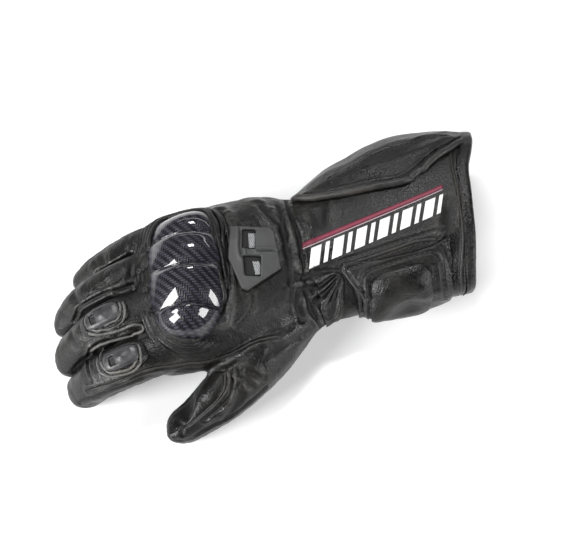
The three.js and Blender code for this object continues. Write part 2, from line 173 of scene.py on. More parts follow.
def fromBmesh(name, bm):
    mesh = bpy.data.meshes.new(name)
    bm.to_mesh(mesh)
    bm.free()
    return addObject(name, mesh)


def shapedMesh(obj):
    return bpy.data.meshes.new_from_object(obj.evaluated_get(bpy.context.evaluated_depsgraph_get()))


def bakeModifiers(obj):
    mesh = shapedMesh(obj)
    obj.modifiers.clear()
    obj.data = mesh
    obj.data.shade_smooth()


def gridOf(columns, bands, size=0.5):  # a flat sheet to lay on something
    bm = bmesh.new()
    bmesh.ops.create_grid(bm, x_segments=columns, y_segments=bands, size=size)
    return bm


def opened(obj):  # an object's mesh, to edit
    bm = bmesh.new()
    bm.from_mesh(obj.data)
    return bm


def putBack(bm, obj):
    bm.to_mesh(obj.data)
    bm.free()


def voxelRemesh(obj, voxel):
    remesh = obj.modifiers.new("dense", "REMESH")
    remesh.mode = "VOXEL"
    remesh.voxel_size = voxel * mm
    bakeModifiers(obj)


def addWall(obj, thick, offset):  # makes a sheet solid
    wall = obj.modifiers.new("wall", "SOLIDIFY")
    wall.thickness, wall.offset = thick * mm, offset
    bakeModifiers(obj)


def mergedCopy(name, nodes, swell=0.0):  # the CAD solids of some nodes as one mesh with shared vertices
    bm = bmesh.new()
    for node in nodes:
        bm.from_mesh(frame["nodes"][node].data)
    bmesh.ops.remove_doubles(bm, verts=bm.verts, dist=0.01 * mm)
    bm.normal_update()
    for vert in bm.verts:
        vert.co += vert.normal * swell * mm
    return fromBmesh(name, bm)


def readAll(items, key, columns, kind=np.float32):  # one value of all points or edges as an array
    values = np.empty(len(items) * columns, kind)
    items.foreach_get(key, values)
    return values.reshape(-1, columns)


class Form:  # a mesh with its points at hand in mm, and with the relief that is pushed into them
    def __init__(self, obj):
        self.obj = obj
        self.points = readAll(obj.data.vertices, "co", 3).astype(float) / mm
        self.edges = readAll(obj.data.edges, "vertices", 2, np.int32)
        self.detail = np.zeros(len(self.points))
        self.readNormals()

    def readNormals(self):
        self.normals = readAll(self.obj.data.vertex_normals, "vector", 3).astype(float)

    def write(self):
        self.obj.data.vertices.foreach_set("co", (self.points * mm).astype(np.float32).ravel())
        self.obj.data.update()
        self.readNormals()

    def spread(self, values, rounds):  # evens values out over neighbouring points
        a, b = self.edges.T
        count = np.bincount(a, minlength=len(values)) + np.bincount(b, minlength=len(values))
        columns = values.reshape(len(values), -1).copy()
        for _ in range(rounds):
            for k in range(columns.shape[1]):
                column = columns[:, k]
                total = np.bincount(a, column[b], len(column)) + np.bincount(b, column[a], len(column))
                columns[:, k] = 0.5 * column + 0.5 * total / count
        return columns.reshape(values.shape)

    def relax(self, rounds, keep=1.0, share=1.0):  # takes the facets off, then gives back the size that this took
        smooth = self.spread(self.points, rounds)
        lost = ((self.points - smooth) * self.normals).sum(1)
        before = self.points
        self.points = smooth
        self.write()
        smooth = self.points + keep * self.spread(lost, 2 * rounds)[:, None] * self.normals
        share = np.broadcast_to(share, len(before))[:, None]
        self.points = before + share * (smooth - before)
        self.write()

    # what is pushed is kept as detail and written out as the relief attribute, which is painted lighter where raised
    # and darker where sunk: painted highlight and painted shade
    def push(self, amount, detail=True):  # outwards along the normals
        self.points = self.points + amount[:, None] * self.normals
        if detail:
            self.detail = self.detail + amount
        self.write()

    def attribute(self, name, values):
        layer = self.obj.data.attributes.new(name, "FLOAT", "POINT")
        layer.data.foreach_set("value", values.astype(np.float32))


def grow(name, nodes, voxel, relax, swell=0.0):  # CAD solids as one dense soft form: a swell closes their gaps
    obj = mergedCopy(name, nodes, swell)
    voxelRemesh(obj, voxel)
    form = Form(obj)
    form.relax(relax)
    if swell:
        form.push(np.full(len(form.points), -swell), False)
    return form


def treeOf(*forms):  # one surface to aim at
    vertices, faces = [], []
    for form in forms:
        obj = form.obj if isinstance(form, Form) else form
        start = len(vertices)
        vertices += [v.co / mm for v in obj.data.vertices]
        faces += [[start + i for i in face.vertices] for face in obj.data.polygons]
    return BVHTree.FromPolygons(vertices, faces)


def fromPhoto(pixels, tree, jump=12):  # the line on a surface that the camera sees along pixels of the photograph
    line = []
    for px, py in curveThrough(pixels, 2.0):
        hit = tree.ray_cast(eye, sightLine(px, py))[0]
        if hit is not None and (not line or np.linalg.norm(line[-1] - np.array(hit)) < jump):
            line.append(np.array(hit))
    return np.array(line)


def laidOn(tree, sights):  # where lines of sight meet a surface, or else the nearest place on it
    depth = studio["distance"]
    for sight in sights:
        hit, normal, _, reach = tree.ray_cast(eye, sight)
        if hit is None:
            hit, normal = tree.find_nearest(eye + sight * depth)[:2]
        else:
            depth = reach
        yield hit, normal


def settle(points, tree, lift=0.0):  # the nearest places on a surface, and the directions out of it
    places, outs = [], []
    for point in points:
        hit, normal = tree.find_nearest(Vector(point))[:2]
        places.append(np.array(hit + normal * lift))
        outs.append(np.array(normal))
    return np.array(places), np.array(outs)


def tubeAlong(name, line, radius, sides=8):  # a round cord along a line of points
    curve = bpy.data.curves.new(name, "CURVE")
    curve.dimensions = "3D"
    curve.bevel_depth = radius * mm
    curve.bevel_resolution = sides // 4
    curve.use_fill_caps = True
    spline = curve.splines.new("POLY")
    spline.points.add(len(line) - 1)
    for point, place in zip(spline.points, line):
        point.co = (*(place * mm), 1)
    obj = addObject(name, curve)
    mesh = shapedMesh(obj)
    bpy.data.objects.remove(obj)
    mesh.shade_smooth()
    return addObject(name, mesh)


def stitchesAlong(name, lines, tree, long=2.1, pitch=3.2, thick=0.42, lift=0.06):  # one bead for each stitch
    bm = bmesh.new()
    for line in lines:
        places, outs = settle(line, tree, lift)
        run = lengths(places)
        for at in np.arange(pitch / 2, run[-1] - pitch / 2, pitch):
            centre, ahead = ([np.interp(at + d, run, places[:, k]) for k in range(3)] for d in (0, 0.5))
            normal = Vector([np.interp(at, run, outs[:, k]) for k in range(3)]).normalized()
            along = (Vector(ahead) - Vector(centre)).normalized()
            side = normal.cross(along).normalized()
            turn = Matrix((along, side, side.cross(along) * -1)).transposed().to_4x4()
            size = Matrix.Diagonal((long / 2, thick / 2, thick / 2, 1))
            place = Matrix.Translation(Vector(centre) * mm) @ turn @ size @ Matrix.Scale(mm, 4)
            bmesh.ops.create_uvsphere(bm, u_segments=6, v_segments=4, radius=1, matrix=place)
    obj = fromBmesh(name, bm)
    obj.data.shade_smooth()
    return obj


def finish(obj, material, slot, nodes=(), padded=None):  # hands a piece over to the frame
    for vert in obj.data.vertices:
        vert.co.z = max(vert.co.z, floorGap * mm)
    if not obj.data.materials:
        obj.data.materials.append(material)
    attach(obj, "root")
    if nodes:
        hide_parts(*nodes)
    pieces[obj.name] = obj


# materials
class Wire:  # a shader socket that adds Math nodes when it is worked with
    def __init__(self, finish, socket):
        self.finish, self.socket = finish, socket

    def math(self, operation, *values):
        return self.finish.add("ShaderNodeMath", dict(operation=operation), dict(enumerate(values)))

    def __add__(self, other):
        return self.math("ADD", self, other)

    def __sub__(self, other):
        return self.math("SUBTRACT", self, other)

    def __rsub__(self, other):
        return self.math("SUBTRACT", other, self)

    def __mul__(self, other):
        return self.math("MULTIPLY", self, other)

    def __mod__(self, other):
        return self.math("FLOORED_MODULO", self, other)

    def __gt__(self, other):
        return self.math("GREATER_THAN", self, other)

    def floor(self):
        return self.math("FLOOR", self)

    def wave(self):
        return self.math("SINE", self)

    def size(self):
        return self.math("ABSOLUTE", self)

    def ribs(self, pitch):  # waves with a pitch in mm
        return (self * (math.pi / (pitch * mm))).wave()

    def between(self, low, high, first=0.0, last=1.0):
        fit = dict(interpolation_type="SMOOTHSTEP")
        return self.finish.add("ShaderNodeMapRange", fit, {0: self, 1: low, 2: high, 3: first, 4: last})

    __radd__ = __add__
    __rmul__ = __mul__


shaderSockets = dict(baseColor="Base Color", metallic="Metallic", roughness="Roughness", normal="Normal",
                     specular="Specular IOR Level", coatWeight="Coat Weight", coatRoughness="Coat Roughness",
                     coatIOR="Coat IOR", emission="Emission Color", emissionStrength="Emission Strength")


class Finish:  # one material and the nodes in it
    def __init__(self, name):
        self.material = bpy.data.materials.new(name)
        self.material.use_nodes = True
        self.nodes = self.material.node_tree.nodes
        self.links = self.material.node_tree.links
        self.shader = self.nodes["Principled BSDF"]

    def add(self, kind, settings=None, values=None, output=0):
        node = self.nodes.new(kind)
        for key, value in (settings or {}).items():
            setattr(node, key, value)
        for key, value in (values or {}).items():
            self.put(node.inputs[key], value)
        return Wire(self, node.outputs[output])

    def put(self, socket, value):
        if isinstance(value, Wire):
            self.links.new(value.socket, socket)
        elif hasattr(value, "__len__") and len(value) == 3 and socket.type == "RGBA":
            socket.default_value = (*value, 1)
        else:
            socket.default_value = value

    def set(self, **values):
        for key, value in values.items():
            self.put(self.shader.inputs[shaderSockets[key]], value)

    def coordinates(self, stretch=(1, 1, 1)):
        place = self.add("ShaderNodeTexCoord", output="Object")
        return self.add("ShaderNodeMapping", {}, {"Vector": place, "Scale": stretch})

    def split(self, vector):  # its x and y
        parts = self.add("ShaderNodeSeparateXYZ", {}, {0: vector})
        return parts, Wire(self, parts.socket.node.outputs[1])

    def noise(self, size, detail=3, rough=0.55):  # lumps of a size in mm
        values = {"Vector": self.coordinates(), "Scale": 1 / (size * mm), "Detail": detail, "Roughness": rough}
        return self.add("ShaderNodeTexNoise", {}, values)

    def cells(self, size, feature="F1", random=1.0, place=None):
        values = {"Vector": place or self.coordinates(), "Scale": 1 / (size * mm), "Randomness": random}
        return self.add("ShaderNodeTexVoronoi", dict(feature=feature), values)

    def mix(self, amount, first, second):
        return self.add("ShaderNodeMix", dict(data_type="RGBA"), {"Factor": amount, 6: first, 7: second}, output=2)

    def own(self, name):  # a value kept on the mesh's points
        return self.add("ShaderNodeAttribute", dict(attribute_name=name), output="Fac")

    def bump(self, height, deep, strength=1.0, under=None):  # deep is in mm
        values = {"Height": height, "Distance": deep * mm, "Strength": strength}
        if under:
            values["Normal"] = under
        return self.add("ShaderNodeBump", {}, values)


def leatherFinish(name, dark=(0.0015, 0.0015, 0.0016), light=(0.0088, 0.0086, 0.0084), gloss=0.29, worn=1.1,
                  perforated=False):
    f = Finish(name)
    # relief is how far the leather was pushed out or in: raised relief is painted lighter, partly rubbed wear and
    # partly painted highlight
    relief = f.own("relief")
    grain = f.cells(0.95, "SMOOTH_F1")
    pores = f.cells(0.5, "F1")
    broad = f.noise(16, 4)
    fine = f.noise(2.6, 4, 0.6)
    warm = f.mix(f.noise(34, 2).between(0.4, 0.62), light, (light[0] * 1.05, light[1] * 0.98, light[2] * 0.86))
    ridge = relief.between(0.05, 0.75)
    sunk = relief.between(-0.08, -0.6)
    # worn sets how much lighter raised relief is painted: rubbed wear and painted highlight
    tone = broad.between(0.3, 0.72, 0.05, 0.5) + fine.between(0.35, 0.7, 0.0, 0.3) + ridge * worn
    colour = f.mix(tone, dark, warm)
    rough = broad.between(0.3, 0.7, gloss - 0.05, gloss + 0.1) + fine * 0.08 + sunk * 0.2 - ridge * 0.07
    f.set(specular=0.37)
    # the highest relief, broken by fine noise, is painted much lighter: rubbed wear and painted highlight
    wearAndHighlight = relief.between(0.3, 0.95) * fine.between(0.3, 0.62, 0.35, 1.0)
    colour = f.mix(wearAndHighlight * 0.75, colour, [c * 5 for c in light])
    surface = f.bump(grain * -0.7 + pores * -0.3 + f.noise(0.8, 2) * 0.6, 0.34, 0.8)
    if perforated:  # rows of small punched holes where the leather is marked for them
        spot = f.cells(2.0, "F1", 0.0, f.coordinates((1, 1, 0.01)))
        pierced = f.own("pierced")
        holes = spot.between(0.2, 0.3, 1, 0) * pierced
        surface = f.bump(holes * -1, 0.25, 0.6, surface)
        colour = f.mix(spot.between(0.3, 0.42, 1, 0) * pierced * 0.14, colour, [c * 2.5 for c in light])
        colour = f.mix(holes, colour, (0.001, 0.001, 0.001))
        rough = rough + pierced * 0.14
    f.set(roughness=rough)
    # painted shade: sunk seams, creases and folds are mixed towards near-black
    f.set(baseColor=f.mix(sunk * 0.85, colour, (0.0015, 0.0015, 0.0015)))
    f.set(normal=f.bump(fine, 0.45, 0.45, surface))
    return f.material


def carbonFinish():
    f = Finish("clear coated carbon weave")
    u, v = f.split(f.add("ShaderNodeUVMap", dict(uv_map="weave")))
    over = ((u.floor() + v.floor()) % 4) > 1.5  # two over, two under
    along = f.mix(over, (0, 0, 0), (1, 1, 1))
    strandU = ((u % 1) * math.pi).wave()
    strandV = ((v % 1) * math.pi).wave()
    crown = over * strandU + (1 - over) * strandV
    flecks = f.noise(0.35, 2, 0.7)
    # the twill is one black fibre: the lighter warp and the lighter crown of each strand are painted sheen
    shade = crown.between(0.15, 1.0) * flecks.between(0.3, 0.7, 0.55, 1.0)
    warp = f.mix(shade, (0.003, 0.003, 0.004), (0.05, 0.046, 0.066))
    weft = f.mix(shade, (0.0015, 0.0015, 0.0025), (0.012, 0.011, 0.018))
    f.set(baseColor=f.mix(along, weft, warp))
    rim = f.own("rim")
    f.set(specular=0.2, roughness=over * 0.12 + 0.32 + rim * 0.3, coatWeight=1 - rim * 0.8, coatRoughness=0.035,
          coatIOR=1.54)
    f.set(normal=f.bump(crown, 0.25, 0.5))
    return f.material


def mouldedFinish(name, dark, light, rough, grain=0.35):
    f = Finish(name)
    broad = f.noise(9, 3)
    speck = f.noise(grain, 2, 0.7)
    relief = f.own("relief")
    # raised relief is painted lighter, a painted highlight, and sunk relief such as seams and slots is painted
    # near-black, painted shade
    tone = broad.between(0.3, 0.7, 0.25, 0.75) + relief.between(0.0, 0.5, 0.0, 0.35)
    f.set(baseColor=f.mix(relief.between(-0.1, -0.7) * 0.7, f.mix(tone, dark, light), (0.006, 0.006, 0.006)))
    f.set(roughness=broad.between(0.3, 0.7, rough - 0.06, rough + 0.06) + speck * 0.08)
    f.set(normal=f.bump(speck, 0.12, 0.5, f.bump(broad, 0.2, 0.3)))
    return f.material


def silverFinish():
    f = Finish("silver reflective mesh")
    x, y = f.split(f.coordinates())
    net = (x.ribs(0.75) * y.ribs(0.75)).between(-0.5, 0.6)
    sparkle = f.noise(0.7, 2, 0.8).between(0.35, 0.68)
    f.set(baseColor=f.mix(net * 0.6 + sparkle * 0.4, (0.09, 0.092, 0.095), (0.5, 0.51, 0.52)))
    f.set(metallic=0.35, roughness=net.between(0, 1, 0.55, 0.32))
    f.set(normal=f.bump(net + sparkle * 0.4, 0.25, 0.8))
    return f.material


def threadFinish(name, colour):
    f = Finish(name)
    ply = f.noise(0.5, 2)
    f.set(baseColor=f.mix(ply.between(0.3, 0.7), [c * 0.55 for c in colour], colour), roughness=ply * 0.2 + 0.5)
    f.set(normal=f.bump(ply, 0.1, 0.6))
    return f.material


def printFinish(name, colour):
    f = Finish(name)
    worn = f.noise(1.6, 4, 0.7)
    cracks = f.cells(1.4, "DISTANCE_TO_EDGE").between(0.0, 0.05)
    faded = worn.between(0.3, 0.48) * cracks.between(0, 1, 0.75, 1.0)
    f.set(baseColor=f.mix(faded, [c * 0.72 for c in colour], colour), roughness=worn * 0.2 + 0.42)
    f.set(normal=f.bump(f.cells(0.95, "SMOOTH_F1"), 0.12, 0.35))
    return f.material


def liningFinish():
    f = Finish("knitted lining")
    x, y = f.split(f.coordinates())
    rib = x.ribs(0.9).size() * y.ribs(1.3).size()
    f.set(baseColor=f.mix(rib, (0.012, 0.012, 0.0125), (0.045, 0.045, 0.047)), roughness=rib * -0.1 + 0.92)
    f.set(normal=f.bump(rib, 0.3, 0.6))
    return f.material


def floorFinish():
    f = Finish("pale floor")
    f.set(baseColor=f.mix(f.noise(400, 2).between(0.3, 0.7), (0.8, 0.8, 0.8), (0.83, 0.83, 0.83)))
    f.set(roughness=f.noise(60, 2) * 0.1 + 0.7, specular=0.2, emission=(1, 1, 1), emissionStrength=0.27)
    return f.material


leather = leatherFinish("black cowhide", perforated=True)
softLeather = leatherFinish("soft padded leather", light=(0.012, 0.0118, 0.0118), gloss=0.28)
# lighter leather for the piping and the thumb's ridges: a painted highlight along their edges
cordLeather = leatherFinish("leather piping with painted highlight", dark=(0.012, 0.012, 0.012), light=(0.05, 0.049, 0.048), gloss=0.3)
# much lighter leather for the corded ridges round the sliders and for the web piping: a painted highlight
ridgeHighlightLeather = leatherFinish("leather ridges with painted highlight", dark=(0.06, 0.06, 0.06), light=(0.17, 0.167, 0.163), gloss=0.3)
lining = liningFinish()
thread = threadFinish("bonded thread", (0.06, 0.06, 0.059))
print("materials ready")

# the glove's leather
# joints of each digit, from the hand out to the tip, in mm
digits = dict(
    index_finger=[(-46.8, -16.2, 37), (-70.8, -17.2, 38.6), (-106.8, -17.4, 34), (-122.8, -16.2, 22.5),
                  (-130.8, -14.8, 10.4)],
    middle_finger=[(-48.8, 4.8, 42), (-68.8, 6.8, 43.5), (-104.8, 9.2, 38), (-120.8, 8.4, 26), (-130.3, 6.4, 11)],
    ring_finger=[(-42.8, 29.8, 39), (-62.8, 31.4, 41), (-97.8, 33.2, 34.5), (-113.8, 32.4, 23.5),
                 (-123.3, 30.2, 10.6)],
    little_finger=[(-32.8, 48.8, 34), (-52.8, 51.4, 34), (-82.8, 53.8, 28.5), (-97.8, 53.4, 20.5),
                   (-106.8, 51.8, 9.8)],
    thumb=[(-6.8, -14.2, 27), (-17.8, -26.2, 26), (-39.8, -42.2, 23), (-63.8, -52.6, 17.5), (-81.4, -55.6, 11)],
)
digitLines = {name: curveThrough(joints, 2.0) for name, joints in digits.items()}
palmLine = curveThrough([(-90, 8.8, 34), (-40, 8, 30), (20, 12, 28), (134, 16, 33)], 4)
fingers = ["index_finger", "middle_finger", "ring_finger", "little_finger"]
skinPlan = dict(voxel=1.0, relax=26, swell=0.4)
cuffPlan = dict(relax=70, even=8)  # the cuff is evened out further
rootPlane = dict(at=(-88.78, 2.8, 40), normal=(-0.955, 0.239, -0.17))
wristPlane = dict(at=(15.2, 2.8, 40), normal=(1, -0.12, 0))
# level of the seam between back and palm: along x, and its lift across y
sideSeam = dict(x=(-105.8, -70.8, -45.8, -25.8, -0.8, 34.2), z=(31, 31.5, 34, 39, 40, 36),
                y=(-37.2, -17.2, 6.8, 30.8, 52.8, 66.8), lift=(2, 1, 6, 4, -4, -7))


def seamLevel(points):  # in mm
    level = np.interp(points[:, 0], sideSeam["x"], sideSeam["z"])
    return level + np.interp(points[:, 1], sideSeam["y"], sideSeam["lift"])


def cutAt(obj, plane, beyond):  # keeps one side of a plane and closes the cut
    bm = opened(obj)
    at, normal = Vector(plane["at"]) * mm, Vector(plane["normal"]).normalized()
    cut = bmesh.ops.bisect_plane(bm, geom=bm.verts[:] + bm.edges[:] + bm.faces[:], dist=0.001 * mm,
                                 plane_co=at, plane_no=normal, clear_inner=beyond, clear_outer=not beyond)
    rim = [e for e in cut["geom_cut"] if isinstance(e, bmesh.types.BMEdge)]
    bmesh.ops.triangle_fill(bm, edges=rim, use_beauty=True, normal=normal * (-1 if beyond else 1))
    for edge in rim:
        edge.smooth = False
    putBack(bm, obj)


def cutAtSeam(obj, beyond):  # the same along the level of the side seam
    mesh = obj.data
    for sign in (-1, 1):
        points = readAll(mesh.vertices, "co", 3)
        points[:, 2] += sign * seamLevel(points / mm) * mm
        mesh.vertices.foreach_set("co", points.ravel())
        if sign < 0:
            cutAt(obj, dict(at=(0, 0, 0), normal=(0, 0, 1)), beyond)
    mesh.update()


def outside(form, line):  # 1 on a hollow piece's outer face and 0 on its lining, the way out, and mm to its tip
    along = nearLine(form.points, line)[1]
    run = lengths(line)
    centre = np.stack([np.interp(along, run, line[:, k]) for k in range(3)], 1)
    away = form.points - centre
    away /= np.linalg.norm(away, axis=1)[:, None]
    return ease(0.05, 0.35, (away * form.normals).sum(1)), away, run[-1] - along


def nearestTo(points, tree):
    return np.array([tree.find_nearest(Vector(p))[3] or 0.0 for p in points])


def groove(deep, wide, swell, *pixels):  # how far it is sunk and how far the leather beside it swells, in mm
    return dict(deep=deep, wide=wide, swell=swell, pixels=pixels)


# seams and folds that the photograph shows, by its pixels
seams = dict(
    middleTip=groove(1.3, 0.8, 0.6, (79, 309), (75, 328), (77, 350)),
    indexTip=groove(1.3, 0.8, 0.6, (91, 349), (88, 365), (93, 384)),
    middleTop=groove(1.0, 0.8, 0.5, (79, 308), (90, 301), (111, 291), (130, 286)),
    indexTop=groove(1.0, 0.8, 0.5, (91, 349), (101, 342.5), (120, 337.5), (133, 335)),
    thumbSide=groove(0.9, 1.0, 0.7, (88, 391), (101, 386.5), (111, 384.5), (142, 372), (162, 366), (187, 363),
                     (208, 361.5), (233, 353), (254, 342), (280, 335)),
    ringTop=groove(2.0, 1.3, 0.6, (135, 254), (124, 258), (113, 262), (104, 266), (96, 270)),
    ringEnd=groove(2.4, 2.4, 0.5, (135, 256), (132, 266), (132, 284)),
    webIndex=groove(1.7, 1.1, 0.8, (147, 324), (138, 325.5), (126, 329), (115, 334)),
    webRing=groove(1.6, 1.1, 0.6, (138, 285), (128, 287), (116, 291)),
    guardFold=groove(1.7, 1.7, 0.9, (221, 210), (225, 232), (226.5, 262), (225, 290), (221, 320)),
    guardFoldTwo=groove(0.8, 1.2, 0.5, (228, 214), (231, 221), (231, 226)),
    tabLeft=groove(0.7, 0.9, 0.4, (231, 290), (230, 306), (226, 322)),
    tabRight=groove(0.7, 0.9, 0.4, (254, 291), (253, 304), (246, 318), (236, 328)),
    wrist=groove(1.5, 1.0, 0.7, (286, 200), (291, 217), (298, 236), (303, 262), (305, 285), (309, 303), (318, 324)),
    wristFold=groove(1.2, 1.5, 0.2, (277, 201), (283, 222), (286, 240), (290, 262)),
    wristFoldTwo=groove(0.8, 1.4, 0.15, (282, 232), (288, 256), (291, 281), (291, 306)),
    wristFoldThree=groove(1.0, 1.4, 0.6, (300, 290), (297, 304), (302, 320)),
    cuffSeam=groove(0.5, 0.7, 0.35, (341, 260.5), (369, 251.5), (397, 242), (420, 235), (443, 228)),
    cornerFold=groove(0.9, 1.7, 0.7, (258, 203), (268, 214), (279, 224), (284, 236)),
    thumbCreaseOne=groove(0.7, 1.4, 0.3, (234, 371), (242, 376), (252, 387)),
    thumbCreaseTwo=groove(0.7, 1.4, 0.3, (237, 370), (250, 373), (263, 379)),
    thumbCreaseThree=groove(0.6, 1.6, 0.4, (240, 396), (236, 405), (228, 416)),
    thumbRoot=groove(0.6, 1.8, 0.3, (262, 356), (280, 347), (300, 336), (312, 326)),
    cuffFold=groove(0.9, 3.2, 0.5, (318, 206), (319, 222), (322, 236)),
    cuffFoldTwo=groove(0.6, 2.6, 0.5, (452, 204), (447, 232), (445, 250)),
    thumbPanel=groove(1.2, 0.9, 0.5, (232.5, 372), (231.8, 386), (228.3, 398.5), (216, 411), (204, 421)),
    thumbTip=groove(0.9, 0.8, 0.4, (171, 418), (177, 423), (184, 434)),
    hemOuter=groove(0.7, 0.7, 0.35, (458, 143), (466, 175), (469.5, 215), (468.5, 255), (463, 292)),
    hemInner=groove(0.4, 0.6, 0.2, (451, 150), (459.5, 180), (463, 218), (462, 255), (456, 294)),
)
fingerFolds = dict(  # mm from the tip along each digit's line where it folds, and how deep
    back=[(19, 0.5), (36, 0.5)],
    front=[(16, 0.8), (24, 0.9), (37, 1.0), (46, 1.0), (56, 0.7)],
)
fingerSeam = dict(angle=68, deep=0.9, wide=1.0, swell=0.4)
puckers = dict(seams=("wrist", "wristFold"), pitch=8.5, reach=8, deep=0.2)
fan = dict(pixel=(343, 270), pitch=0.2, reach=42, deep=1.05, sunk=0.3, starts=(2, 8), fades=0.45,
           upper=(0.35, 0.05), lower=(-1.75, -1.4))  # where it ends on both sides, in radians


def sew(form, mask, seam, line):  # sinks a seam into a piece
    if len(line) < 2:
        return
    low, high = line.min(0) - 10, line.max(0) + 10
    nearby = np.all((form.points > low) & (form.points < high), axis=1)
    if not nearby.any():
        return
    distance = nearLine(form.points[nearby], line)[0]
    ends = np.minimum(np.linalg.norm(form.points[nearby] - line[0], axis=1),
                      np.linalg.norm(form.points[nearby] - line[-1], axis=1))
    wide = seam["wide"]
    amount = np.zeros(len(form.points))
    amount[nearby] = -seam["deep"] * mound(distance, wide) + seam["swell"] * mound(distance - 2.4 * wide, 1.3 * wide)
    amount[nearby] *= ease(-1, max(3, 3 * wide), ends)
    form.push(amount * mask)


def foldDigit(form, mask, away, fromTip):  # folds across a finger and the seams down its sides
    angle = np.degrees(np.arctan2(np.abs(away[:, 1]), away[:, 2]))
    wobble = 1.4 * cloud(form.points, 7, 5)
    amount = np.zeros(len(form.points))
    for side, folds in fingerFolds.items():
        share = ease(70, 20, angle) if side == "back" else ease(95, 140, angle)
        for at, deep in folds:
            amount -= share * deep * mound(fromTip - at + wobble, 1.5)
            amount += share * 0.5 * deep * mound(fromTip - at - 3.6 + wobble, 2.0)
    aside = (angle - fingerSeam["angle"] - 4 * np.sin(fromTip / 18)) * 0.22
    along = ease(-4, 8, fromTip) * ease(62, 50, fromTip)
    amount -= fingerSeam["deep"] * mound(aside, fingerSeam["wide"]) * along
    amount += fingerSeam["swell"] * mound(aside - 2.4, 1.4) * along
    form.push(amount * mask)


def soften(form, mask):  # the slack and the small creases that worn leather has, less of both on the cuff
    cuff = ease(15, 45, form.points[:, 0])
    soft = 0.3 * cloud(form.points, 15, 1) + 0.16 * cloud(form.points, 6.5, 2)
    wrinkles = 0.3 * creases(form.points * (1, 0.8, 1), 9, 3) + 0.14 * creases(form.points, 4.2, 4)
    form.push(mask * (soft * (1 - 0.45 * cuff) - wrinkles * (1 - 0.85 * cuff)))


hand = grow("hand", ["hand_back", "hand_palm", *fingers, "thumb", "gauntlet"], **skinPlan)
cuffTree = treeOf(hand)
cuffFaces = [list(face.vertices) for face in hand.obj.data.polygons]
cuffShift = -hand.points
hand.relax(cuffPlan["relax"], share=ease(14, 34, hand.points[:, 0]))
cuffShift += hand.points


def followCuff(form):  # moves what lies on the cuff as the cuff's own surface was evened out
    near = [cuffFaces[cuffTree.find_nearest(Vector(p))[2]] for p in form.points]
    form.points = form.points + form.spread(np.array([cuffShift[face].mean(0) for face in near]), cuffPlan["even"])
    form.write()


sheaths = {name: grow(name, [name, "hand_back", "hand_palm"], **skinPlan) for name in fingers}
cadHand = treeOf(mergedCopy("cad hand", ["hand_back", "hand_palm", "gauntlet"]))
cadThumb = treeOf(mergedCopy("cad thumb", ["thumb"]))
firstTree = treeOf(hand, *sheaths.values())
seamLines = {name: fromPhoto(seam["pixels"], firstTree) for name, seam in seams.items()}
print("leather skins:", len(hand.points), [len(form.points) for form in sheaths.values()])

thumbMask, thumbAway, thumbFromTip = outside(hand, digitLines["thumb"])
nearThumb = np.linalg.norm(hand.points - np.array(digits["thumb"][3]), axis=1) < 48
offThumb = np.full(len(hand.points), 9.0)
offThumb[nearThumb] = nearestTo(hand.points[nearThumb], cadThumb) - nearestTo(hand.points[nearThumb], cadHand)
onThumb = ease(0.6, -0.6, hand.spread(offThumb, 2))
handMask = hand.spread(outside(hand, palmLine)[0] * (1 - onThumb) + thumbMask * onThumb, 3)
soften(hand, handMask)
foldDigit(hand, handMask * onThumb, thumbAway, thumbFromTip)
for key, seam in seams.items():
    sew(hand, handMask, seam, seamLines[key])
for key in puckers["seams"]:  # gathers across the wrist seams
    distance, along = nearLine(hand.points, seamLines[key])
    wave = np.sin(2 * math.pi * (along / puckers["pitch"] + 1.1 * cloud(hand.points, 14, 8)))
    hand.push(handMask * puckers["deep"] * wave * mound(distance - 3.5, puckers["reach"] / 2))
fanCentre = np.array(firstTree.ray_cast(eye, sightLine(*fan["pixel"]))[0])


def fanFolds(form, mask):  # folds that spread from the corner of the strap over the wrist
    step = form.points - fanCentre
    reach = np.linalg.norm(step, axis=1)
    bearing = np.arctan2(step @ np.array(above), -(step @ np.array(right)))
    wave = np.sin(2 * math.pi * (bearing / fan["pitch"] / 2 + 0.35 * cloud(form.points, 8, 9)))
    share = ease(*fan["starts"], reach) * ease(fan["reach"], fan["reach"] * fan["fades"], reach)
    share *= ease(*fan["upper"], bearing) * ease(*fan["lower"], bearing)
    form.push(mask * fan["deep"] * (wave - fan["sunk"]) * share)


fanFolds(hand, handMask)
perforated = dict(centre=(256, 312), wide=46, high=17, slant=-0.32, edge=(1.15, 0.8), facing=(0.2, 0.5))


def piercedOn(form):  # an oval of the photograph, on what faces up
    px, py = toPhoto(form.points)
    x, y = px - perforated["centre"][0], py - perforated["centre"][1]
    oval = (x / perforated["wide"]) ** 2 + ((y - perforated["slant"] * x) / perforated["high"]) ** 2
    return ease(*perforated["edge"], oval) * ease(*perforated["facing"], form.normals[:, 2])


hand.attribute("pierced", handMask * piercedOn(hand))
for name, form in sheaths.items():
    mask, away, fromTip = outside(form, digitLines[name])
    own = ease(-2, 3, (form.points - np.array(rootPlane["at"])) @ np.array(rootPlane["normal"]))
    palmMask = outside(form, palmLine)[0]
    form.mask = form.spread(mask * own + palmMask * (1 - own), 3)
    soften(form, form.mask)
    foldDigit(form, form.mask * own, away, fromTip)
    for key, seam in seams.items():
        sew(form, form.mask, seam, seamLines[key])
    form.attribute("relief", form.detail)
    form.attribute("outer", form.mask)
hand.attribute("relief", hand.detail)
hand.attribute("outer", handMask)
hand.attribute("thumb", onThumb)
print("leather shaped")


def copyOf(form, name):
    obj = addObject(name, form.obj.data.copy())
    obj.data.name = name
    return obj


def takeThumb(obj, wanted):  # keeps the thumb or the rest, and joins the outer rim to the inner one
    bm = opened(obj)
    layer = bm.verts.layers.float["thumb"]
    drop = [f for f in bm.faces if (sum(v[layer] for v in f.verts) / len(f.verts) > 0.5) != wanted]
    bmesh.ops.delete(bm, geom=drop, context="FACES")
    rim = [e for e in bm.edges if e.is_boundary]
    bmesh.ops.bridge_loops(bm, edges=rim)
    for edge in rim:
        edge.smooth = False
    putBack(bm, obj)


